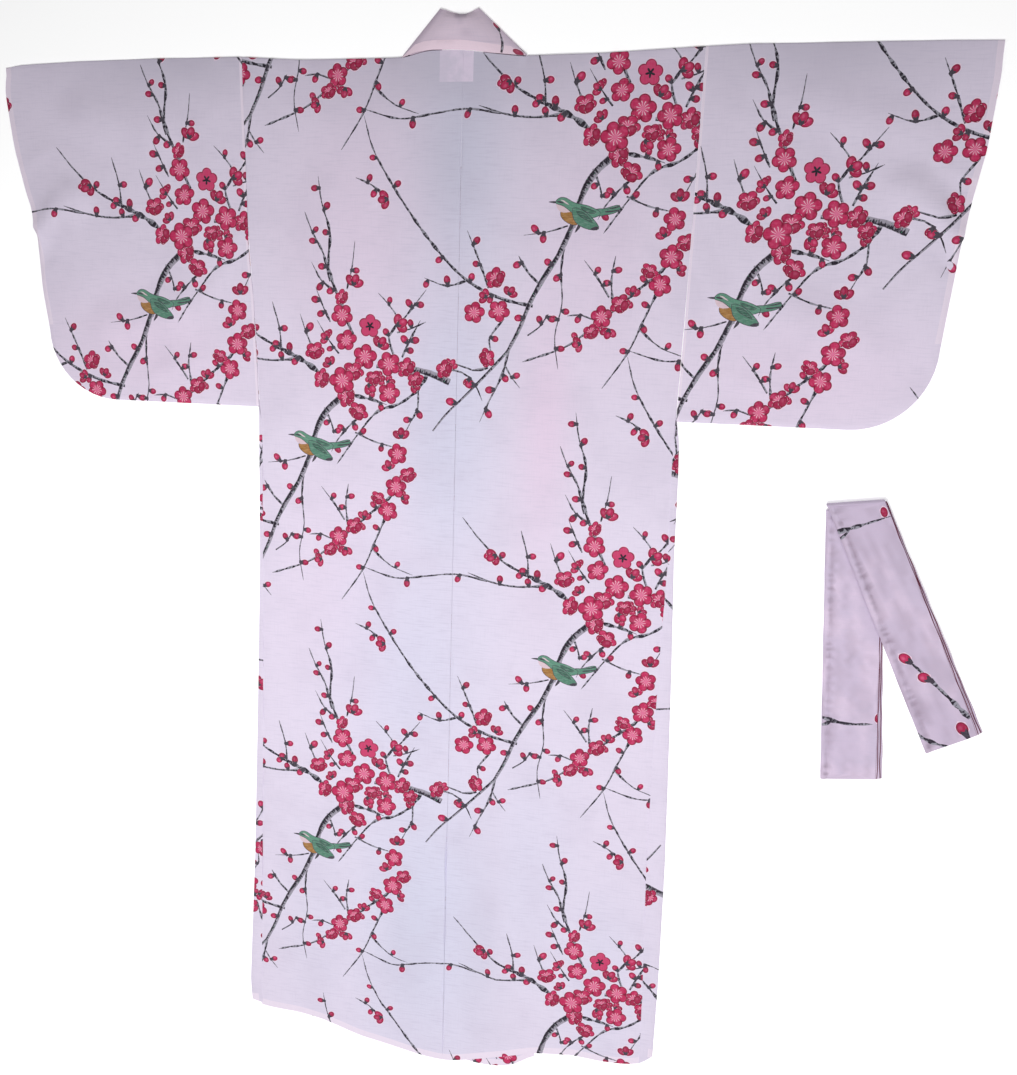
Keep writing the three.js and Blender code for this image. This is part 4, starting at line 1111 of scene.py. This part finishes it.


# Belt: left and right edge of each run from top to bottom, how far the lower layers spread past
# the upper one at each end, the height of the run's underside along it, how much painted shade
# it has, where its smears lie, and the twigs and single petals printed on it.
BELT_LAYERS = 5
BELT_LAYER = 1.0
BELT_THICKNESS = 0.7
BELT_HEM = 8.5
BELT_STATIONS = 104
# The round end of the belt's turn: height of its middle, and how far it reaches past the edge.
TURN_MIDDLE = 5.15
TURN_REACH, TURN_INSET = 3.2, 1.5
BELT_RUNS = {
    "under": {
        "left": ((516, -575), (544, -961)), "right": ((588, -566), (618, -953)),
        "spread": (1, 9), "shares": (0, 1), "base": (0, 0), "shade": 0.12,
        "smears": ((550, -795), (561, -785), (571, -774)),
        "twigs": (Twig(3.2, 2.4, (), ((536, -868), (550, -872), (573, -875), (606, -872))),
                  Twig(3.0, 2.4, (), ((538, -880), (545, -877), (552, -872)))),
        "petals": ((612, -862, 80, 14, 9),),
    },
    "over": {
        "left": ((516, -568), (680, -907)), "right": ((589, -558), (743, -873)),
        "spread": (2.5, 8), "shares": (0, 0.6, 0.74, 0.86, 1), "base": (5.3, 5.3, 2.2, 0, 0),
        "shade": 0.5, "smears": ((668, -835), (674, -841)),
        "twigs": (Twig(3.6, 1.4, (), ((527, -605), (548, -597), (566, -590), (600, -576))),
                  Twig(3.2, 2.4, (), ((534, -615), (541, -608), (549, -598))),
                  Twig(3.6, 2.4, ((0.62, 0.3, 9), (0.93, 0.1, 8.5)),
                       ((730, -850), (709, -831), (692, -816), (667, -794), (650, -781), (640, -772))),
                  Twig(3.6, 2.4, (), ((658, -876), (676, -886), (694, -892), (712, -894))),
                  Twig(3.2, 3.0, ((0.4, 0, 9.5),), ((733, -880), (727, -872), (724, -868)))),
        "petals": ((589, -572, 110, 14, 9),),
    },
}


def belt_relief(flat, from_left, along, pucker, name):
    """Height that the puckered hem and the folds add to the belt's uppermost layer."""
    height = (0.9 * pucker + 0.4) * ridge(from_left, 4.4, 2.8)
    height -= (0.9 - 0.3 * pucker) * ridge(from_left, BELT_HEM, 1.5)
    height -= 0.8 * smooth_step(1 - from_left / 1.6)
    height += rumple(*flat.T, 34, 0.8) * smooth_step((from_left - BELT_HEM) / 10)
    if name == "over":
        height -= 1.6 * smooth_step(1 - along / 7)
    return height


def belt_shade(flat, from_left, pucker, smears):
    """Painted shade in the groove of the hem's stitching, on its puckers and along its edge, and the faint
    grey smears.
    """
    shade = 1.3 * ridge(from_left, BELT_HEM + 0.8, 1.6) * (0.7 + 0.5 * pucker)
    shade += 0.5 * ridge(from_left, 0, 1.4)
    shade += 1.5 * np.clip(pucker, 0, 1) * ridge(from_left, 5.5, 2.4)
    return shade + 0.5 * np.max([blob(*flat.T, x, y, 9, 7) for x, y in smears], axis=0)


def belt_run(name):
    """One run of the folded tie belt, a stack of layers with a puckered hem down its left."""
    run = BELT_RUNS[name]
    shares = np.linspace(0, 1, BELT_STATIONS)
    left, right = (start + shares[:, None] * (np.subtract(end, start))
                   for start, end in (run["left"], run["right"]))
    way = right - left
    way /= np.hypot(way[:, 0], way[:, 1])[:, None]
    leg = left[-1] - left[0]
    length = math.hypot(*leg)
    motifs = []
    for twig in run["twigs"]:
        add_twig(motifs, twig, TWIG_ORDER)
    for x, y, angle, long, wide in run["petals"]:
        add_petal(motifs, (x, y), angle, long, wide, BUD_ORDER, DARK_PETAL)
    shell = Shell()
    for layer in range(BELT_LAYERS):
        is_top = layer == BELT_LAYERS - 1
        spread = np.interp(shares, (0, 1), run["spread"]) * (BELT_LAYERS - 1 - layer) / (BELT_LAYERS - 1)
        uneven = 0.35 * np.sin(shares * 23 + layer * 1.9) + 0.25 * np.sin(shares * 51 + layer)
        left_edge = left + way * (0.25 * (layer % 2) + 0.4 * uneven)[:, None]
        right_edge = right + way * (spread + uneven)[:, None]
        inside = left_edge if layer == 0 or is_top else right_edge - way * 14
        outline = np.concatenate((inside[::-1], right_edge))
        # Painted shadow lines, dark red and mixed with dye at the folds, along each layer's right edge;
        # wider on every other layer.
        edge_dye_and_shadow = way * (1.1 if layer % 2 else 0.25)
        zones = [(DYE_AND_SHADOW_EDGE_ZONE, np.concatenate((right_edge - edge_dye_and_shadow, (right_edge + way * 2)[::-1])))]
        lines = [right_edge - way * inset for inset in (1.6, 3.5)]
        if is_top:
            hem = np.concatenate((left - way * 3, (left + way * BELT_HEM)[::-1]))
            zones.append((BELT_HEM_ZONE, hem))
            lines += [left + way * inset for inset in (1.6, 3, 4.5, 6, 7.5, 10)]
        flat, triangles, ink, tone = cut_panel(outline, 8 if is_top else 30, motifs if is_top else [],
                                               zones, lines)
        share = np.clip((flat - left[0]) @ leg / length**2, 0, 1)
        from_left = (flat - left[0]) @ way[0] - share * (leg @ way[0])
        along = share * length
        z = np.interp(share, run["shares"], run["base"]) + BELT_LAYER * (layer + 1)
        field = np.zeros((len(flat), 3))
        # Painted shade: an even grey for the whole run and mottled patches of shade.
        field[:, 2] = run["shade"] + np.clip(rumple(from_left + 40, along * 0.22, 9, 1.2), -0.25, 0.4)
        if is_top:
            pucker = np.sin(along * 0.52 + 1.7 * np.sin(along * 0.13)) * (0.6 + 0.4 * np.sin(along * 0.07))
            z = z + belt_relief(flat, from_left, along, pucker, name)
            field[:, 2] += belt_shade(flat, from_left, pucker, run["smears"])
        field[:, 2] = np.maximum(field[:, 2], 0)
        field[:, 1] = np.clip(rumple(from_left - 90, along * 0.5, 30, 1.2), 0, 0.5)
        shell.add(columns(*flat.T, z), triangles, ink, tone, field, flat, BELT_THICKNESS)
    if name == "over":
        add_belt_turn(shell, left[0], right[0])
    piece = shell.build(f"belt_{name}_cloth", f"belt_{name}_run", belt_cloth)


def add_belt_turn(shell, start, end):
    """The round end where the belt turns back under itself, at the top."""
    way = (end - start) / np.hypot(*(end - start))
    out = np.array((-way[1], way[0]))
    angles, shares = np.meshgrid(np.radians(np.linspace(90, -90, 13)), np.linspace(0, 1, 12),
                                 indexing="ij")
    rows, places = angles.shape
    first = (np.arange(rows - 1)[:, None] * places + np.arange(places - 1)).reshape(-1)
    corners = np.stack((first, first + places + 1, first + 1, first, first + places,
                        first + places + 1), 1)
    triangles = corners.reshape(-1, 3)
    nothing = np.zeros((len(triangles), 3, 3))
    for layer in range(BELT_LAYERS):
        radius = 0.9 + BELT_LAYER * layer
        reach = np.cos(angles) * min(radius, TURN_REACH) - TURN_INSET
        flat = start + shares[..., None] * (end - start) + reach[..., None] * out
        flat = flat.reshape(-1, 2)
        z = TURN_MIDDLE + np.sin(angles).reshape(-1) * (radius + 0.25)
        shell.add(columns(*flat.T, z), triangles, nothing, nothing, np.zeros((len(flat), 3)), flat,
                  BELT_THICKNESS)


# Materials
def linear(red, green, blue):
    """Screen colour from 0 to 255, as the light that the shaders work in."""
    parts = []
    for value in (red, green, blue):
        value /= 255
        parts.append(value / 12.92 if value <= 0.04045 else ((value + 0.055) / 1.055) ** 2.4)
    return (*parts, 1.0)


class Value:
    """The output of a shader node, which may be used in sums."""

    def __init__(self, graph, socket):
        self.graph = graph
        self.socket = socket

    def __add__(self, other):
        return self.graph.math("ADD", self, other)

    def __radd__(self, other):
        return self.graph.math("ADD", other, self)

    def __sub__(self, other):
        return self.graph.math("SUBTRACT", self, other)

    def __mul__(self, other):
        return self.graph.math("MULTIPLY", self, other)

    def __truediv__(self, other):
        return self.graph.math("DIVIDE", self, other)


class Graph:
    """Wires shader nodes; a value, a number or a colour may be given to each input."""

    def __init__(self, name):
        self.material = bpy.data.materials.new(name)
        self.material.use_nodes = True
        self.tree = self.material.node_tree
        self.tree.nodes.clear()

    def feed(self, socket, value):
        if isinstance(value, Value):
            self.tree.links.new(value.socket, socket)
        else:
            socket.default_value = value

    def node(self, kind, inputs=None, **settings):
        node = self.tree.nodes.new(kind)
        for key, value in settings.items():
            setattr(node, key, value)
        for key, value in (inputs or {}).items():
            self.feed(node.inputs[key], value)
        return node

    def math(self, operation, *values):
        node = self.node("ShaderNodeMath", operation=operation)
        for socket, value in zip(node.inputs, values):
            self.feed(socket, value)
        return Value(self, node.outputs[0])

    def step(self, value, start, end):
        node = self.node("ShaderNodeMapRange", interpolation_type="SMOOTHSTEP")
        for key, item in (("Value", value), ("From Min", start), ("From Max", end)):
            self.feed(node.inputs[key], item)
        return Value(self, node.outputs[0])

    def mix(self, share, first, second):
        node = self.node("ShaderNodeMix", data_type="RGBA")
        for index, value in ((0, share), (6, first), (7, second)):
            self.feed(node.inputs[index], value)
        return Value(self, node.outputs[2])

    def coats(self, colour, *coats):
        """A colour with others laid over it in turn, each by its share."""
        for share, coat in coats:
            colour = self.mix(share, colour, coat)
        return colour

    def surface(self, **inputs):
        """End the material in a surface shader; words of an input's name are joined by _."""
        inputs = {key.replace("_", " "): value for key, value in inputs.items()}
        shader = self.node("ShaderNodeBsdfPrincipled", inputs)
        output = self.node("ShaderNodeOutputMaterial")
        self.tree.links.new(shader.outputs[0], output.inputs[0])
        return self.material

    def noise(self, vector, scale, detail=2.0):
        inputs = {"Vector": vector, "Scale": scale, "Detail": detail}
        return Value(self, self.node("ShaderNodeTexNoise", inputs).outputs[0])

    def distance(self, u, v):
        return self.math("SQRT", u * u + v * v)

    def vector(self, x, y, z=0.0):
        return Value(self, self.node("ShaderNodeCombineXYZ", {"X": x, "Y": y, "Z": z}).outputs[0])

    def attribute(self, name):
        return Value(self, self.node("ShaderNodeAttribute", attribute_name=name).outputs["Vector"])

    def parts(self, vector):
        return [Value(self, out) for out in self.node("ShaderNodeSeparateXYZ", {"Vector": vector}).outputs]


CRIMSON = linear(120, 6, 42)
ROSE = linear(195, 40, 90)
PINK = linear(214, 82, 126)
BLUSH = linear(232, 136, 172)
STAMEN = linear(252, 225, 238)
PALE_EDGE = linear(250, 214, 232)
INK = linear(30, 24, 36)
WASH = linear(150, 148, 160)
LIT_PETAL = linear(222, 98, 138)
BARK = linear(160, 154, 168)
MOSS = linear(58, 128, 96)
BIRD_GREEN = linear(98, 152, 128)
WING_GREEN = linear(48, 92, 74)
LIGHT_GREEN = linear(142, 170, 160)
BROWN = linear(150, 104, 50)
SAND = linear(186, 140, 84)
WHITE_DOWN = linear(232, 206, 216)
GREY_DOWN = linear(212, 188, 196)
COOL_LIGHT = linear(216, 216, 237)
PALE_PINK = linear(234, 213, 235)
CLOUD = linear(202, 192, 212)
THICK_WEFT = linear(188, 182, 206)
THICK_WARP = linear(190, 182, 204)
SLUB = linear(190, 180, 200)
VEILED = linear(238, 222, 244)
DYE_AND_SHADOW_RED = linear(98, 22, 48)
STAMENS = 11
# Turn of the woven pattern along each millimetre, in radians.
THREAD_TURN = 11.5


def flower_colour(g, u, v, seed):
    """Five round petals with a thin crimson rim, a paler heart and fine stamens; and its back."""
    radius = g.distance(u, v)
    angle = g.math("ARCTAN2", v, u)
    fifth = 2 * math.pi / 5
    petal = angle / fifth + 5.5
    turn = (g.math("FRACT", petal) - 0.5) * fifth
    from_centre = radius * g.math("COSINE", turn) - PETAL_CENTRE
    rim = g.distance(from_centre, radius * g.math("SINE", turn)) / PETAL_RADIUS
    outer = g.step(radius, 0.5, 0.58)
    mottle = g.noise(g.vector(u, v, seed * 40), 3.5)
    shade = g.noise(g.vector(g.math("FLOOR", petal), seed * 31), 1.7)
    edge = outer * g.step(rim + mottle * 0.3, 0.88, 1.12)
    parting = g.step(g.math("ABSOLUTE", turn), 0.32, 0.62) * g.step(radius, 0.28, 0.6)
    rays = g.math("SINE", angle * STAMENS + mottle * 5)
    reach = 0.34 + g.noise(g.vector(angle, seed), 4) * 0.3
    inside = g.step(radius - reach, 0.03, -0.03) * g.step(radius, 0.08, 0.2)
    outside = outer * g.step(rim, 0.985, 1.015)
    front = g.coats(
        ROSE, (g.step(shade, 0.45, 0.68) * 0.4, CRIMSON), (g.step(radius, 0.66, 0.2), PINK),
        (g.step(mottle, 0.5, 0.66) * 0.45, PINK), (parting * 0.75, CRIMSON), (edge, CRIMSON),
        (g.step(radius, 0.24, 0.02) * 0.55, BLUSH),
        (g.step(rays, 0.5, 0.98) * inside * 0.72, STAMEN), (outside, PALE_EDGE))
    star_edge = 0.27 + g.math("COSINE", angle * 5 + math.pi) * 0.13
    star = g.step(radius - star_edge, 0.03, -0.03)
    back = g.coats(ROSE, (0.45, PINK), (edge, CRIMSON), (star, INK), (outside, PALE_EDGE))
    return front, back


def petal_colour(g, u, v, seed):
    """A round petal or bud with a soft light spot; a higher seed is darker."""
    radius = g.distance(u, v)
    lit = g.distance(u - 0.2, v - 0.2)
    return g.coats(ROSE, (g.step(lit, 0.5, 0.1) * 0.8, LIT_PETAL), (g.step(radius, 0.66, 1.0), CRIMSON),
                   (seed * 0.5, CRIMSON), (g.step(radius, 0.99, 1.03), PALE_EDGE))


def twig_colours(g, u, v, seed):
    """Brushed ink of the twigs, hatched bark of the branch, and how solid both are at the edge."""
    brush = g.noise(g.vector(u * 0.24, v * 0.5, seed * 60), 1)
    stroke = g.mix(g.step(brush - v * 0.1, 0.47, 0.59), INK, WASH)
    hatching = g.noise(g.vector(u * 0.42, v * 0.6, seed), 1)
    moss = g.noise(g.vector(u * 0.35, v * 1.6, seed), 1, 1)
    bark = g.coats(INK, (g.step(v + (hatching - 0.5) * 4.2, -0.3, 0.5), BARK),
                   (g.step(moss, 0.68, 0.72), MOSS))
    return stroke, bark, g.step(g.math("ABSOLUTE", v) + brush * 0.5, 1.35, 1.0)


def cloth_material(name, base, doubled, shadow, ink_strength=1.0):
    """Thin plain-woven cotton with the print, the soft colour changes of the cloth, and painted cool light,
    painted shade and painted shadow lines.
    """
    g = Graph(name)
    u, v, kind = g.parts(g.attribute("ink"))
    seed, _, zone = g.parts(g.attribute("tone"))
    cool_light, pink, shade_and_smudges = g.parts(g.attribute("field"))
    thread = g.attribute("thread")
    xs, ys, _ = g.parts(thread)

    def is_kind(value, socket=kind):
        return g.math("COMPARE", socket, float(value), 0.5)

    def woven(across, along):
        """Uneven threads: a noise stretched along the cloth's own directions."""
        return g.noise(g.vector(xs * across, ys * along), 1)

    cloud = g.noise(thread, 0.012, 3)
    thick_weft = g.step(woven(0.035, 0.42), 0.46, 0.74) * (0.16 + cool_light * 0.16)
    thick_warp = g.step(woven(0.42, 0.035), 0.5, 0.76) * 0.08
    veiled = 0.4 + g.step(g.noise(thread, 0.07) + xs * 0.008, 0.2, 0.62) * 0.42
    # Over the base: painted cool light and painted shade from the field, pink, cloud and slubs, the doubled
    # hems, the label seen through, and the dark red edge lines of painted shadow and dye.
    cloth_colour = g.coats(
        base, (cool_light, COOL_LIGHT), (pink, PALE_PINK), (shade_and_smudges * 0.5, shadow),
        (g.step(cloud, 0.42, 0.72) * 0.2, CLOUD), (thick_weft, THICK_WEFT), (thick_warp, THICK_WARP),
        (is_kind(HEM_ZONE, zone) * 0.85, doubled), (is_kind(LABEL_ZONE, zone) * veiled, VEILED),
        (is_kind(DYE_AND_SHADOW_EDGE_ZONE, zone), DYE_AND_SHADOW_RED))

    open_flower, behind = flower_colour(g, u, v, seed)
    stroke, bark, rough_edge = twig_colours(g, u, v, seed)
    feather = g.noise(g.vector(u * 1.4, v * 9), 1)
    green = g.coats(BIRD_GREEN, (seed, WING_GREEN), (g.step(feather, 0.45, 0.7) * 0.5, LIGHT_GREEN))
    colour = g.mix(is_kind(HALO) * 0.6, cloth_colour, PALE_EDGE)
    for value, ink, share in (
            (FLOWER, open_flower, 1.0), (BACK_FLOWER, behind, 1.0),
            (PETAL, petal_colour(g, u, v, seed), 1.0), (TWIG, stroke, rough_edge),
            (BRANCH, bark, rough_edge), (GREEN, green, 1.0),
            (OCHRE, g.mix(g.step(feather, 0.35, 0.7), BROWN, SAND), 1.0),
            (THROAT, g.mix(feather, WHITE_DOWN, GREY_DOWN), 1.0), (DARK, INK, 0.94)):
        colour = g.mix(is_kind(value) * share * ink_strength, colour, ink)
    weave = g.math("SINE", xs * THREAD_TURN) * g.math("SINE", ys * THREAD_TURN)
    uneven = woven(0.05, 1.7) + woven(1.7, 0.05)
    colour = g.mix(g.step(uneven, 0.9, 1.25) * 0.1, colour, SLUB)
    bump = g.node("ShaderNodeBump", {"Strength": 0.28, "Distance": 0.0002,
                                     "Height": weave + uneven * 0.6})
    return g.surface(Base_Color=colour, Roughness=0.88, Specular_IOR_Level=0.25, Sheen_Weight=0.12,
                     Sheen_Roughness=0.45, Normal=Value(g, bump.outputs[0]))


cool_shadow = linear(170, 167, 182)
mauve_shadow = linear(166, 148, 168)
cloth = cloth_material("yukata_cotton", linear(229, 219, 238), linear(240, 226, 242), cool_shadow)
collar_cloth = cloth_material("collar_cotton", linear(232, 213, 230), linear(244, 220, 234),
                              mauve_shadow, 0.95)
belt_cloth = cloth_material("belt_cotton", linear(208, 192, 216), linear(214, 198, 221), mauve_shadow)
label_cloth = cloth_material("label_weave", linear(240, 232, 244), linear(228, 220, 234), cool_shadow)


# Floor, light and camera. The camera's place is in the garment's plane and millimetres, and its
# length of focus is in pixels of a picture that is PICTURE_HEIGHT high.
CAMERA_PLACE = (338.6, -349.6, 1389.3)
CAMERA_RIGHT = (0.9815, 0.0318, -0.1887)
CAMERA_UP = (-0.0692, 0.9784, -0.1947)
FOCAL_LENGTH = 1000
PICTURE_HEIGHT = 1075
SENSOR = 36
FLOOR_SIZE, FLOOR_DROP = 14, 0.0004
ROOM_LIGHT = 0.22
LAMP_SIZE = 0.6
# Lamps that look straight down: name, place in metres, power in watts.
LAMPS = (
    ("key", (0, -1.1, 2.6), 50),
    ("left_fill", (-0.35, 0.1, 0.8), 2.1),
    ("right_fill", (0.7, 0.1, 0.8), 2.0),
)


def floor():
    bpy.ops.mesh.primitive_plane_add(size=FLOOR_SIZE, location=(0, 0, -FLOOR_DROP))
    plane = bpy.context.object
    plane.name = "floor"
    g = Graph("pale_floor")
    place = Value(g, g.node("ShaderNodeNewGeometry").outputs["Position"])
    mottle = g.noise(place, 1.2, 3)
    tone = g.mix(mottle, linear(246, 246, 247), linear(250, 250, 250))
    plane.data.materials.append(g.surface(
        Base_Color=tone, Roughness=0.75, Emission_Color=linear(250, 250, 250), Emission_Strength=0.35))


def light():
    """Even light from the white room, and three soft round lamps."""
    scene = bpy.context.scene
    scene.world = bpy.data.worlds.new("studio")
    scene.world.use_nodes = True
    colour, strength = scene.world.node_tree.nodes["Background"].inputs[:2]
    colour.default_value = (1, 1, 1, 1)
    strength.default_value = ROOM_LIGHT
    for name, place, power in LAMPS:
        data = bpy.data.lights.new(name, "AREA")
        data.shape = "DISK"
        data.size = LAMP_SIZE
        data.energy = power
        lamp = bpy.data.objects.new(name, data)
        scene.collection.objects.link(lamp)
        lamp.location = place
        lamp.visible_camera = False
    scene.view_settings.view_transform = "Standard"


def camera():
    data = bpy.data.cameras.new("camera")
    data.sensor_width = SENSOR
    data.lens = SENSOR * FOCAL_LENGTH / PICTURE_HEIGHT
    view = bpy.data.objects.new("camera", data)
    bpy.context.scene.collection.objects.link(view)
    right = Vector(CAMERA_RIGHT).normalized()
    back = Vector(CAMERA_RIGHT).cross(Vector(CAMERA_UP)).normalized()
    turn = Matrix((right, back.cross(right), back)).transposed()
    place = (Vector(CAMERA_PLACE) + Vector((ZERO_X, ZERO_Y, 0))) * MM
    view.matrix_world = Matrix.Translation(place) @ turn.to_4x4()
    bpy.context.scene.camera = view


camera()
light()
floor()
for half in ("left", "right"):
    body_half(half)
    gusset(half)
    sleeve(half)
collar()
neck_label()
belt_run("under")
belt_run("over")
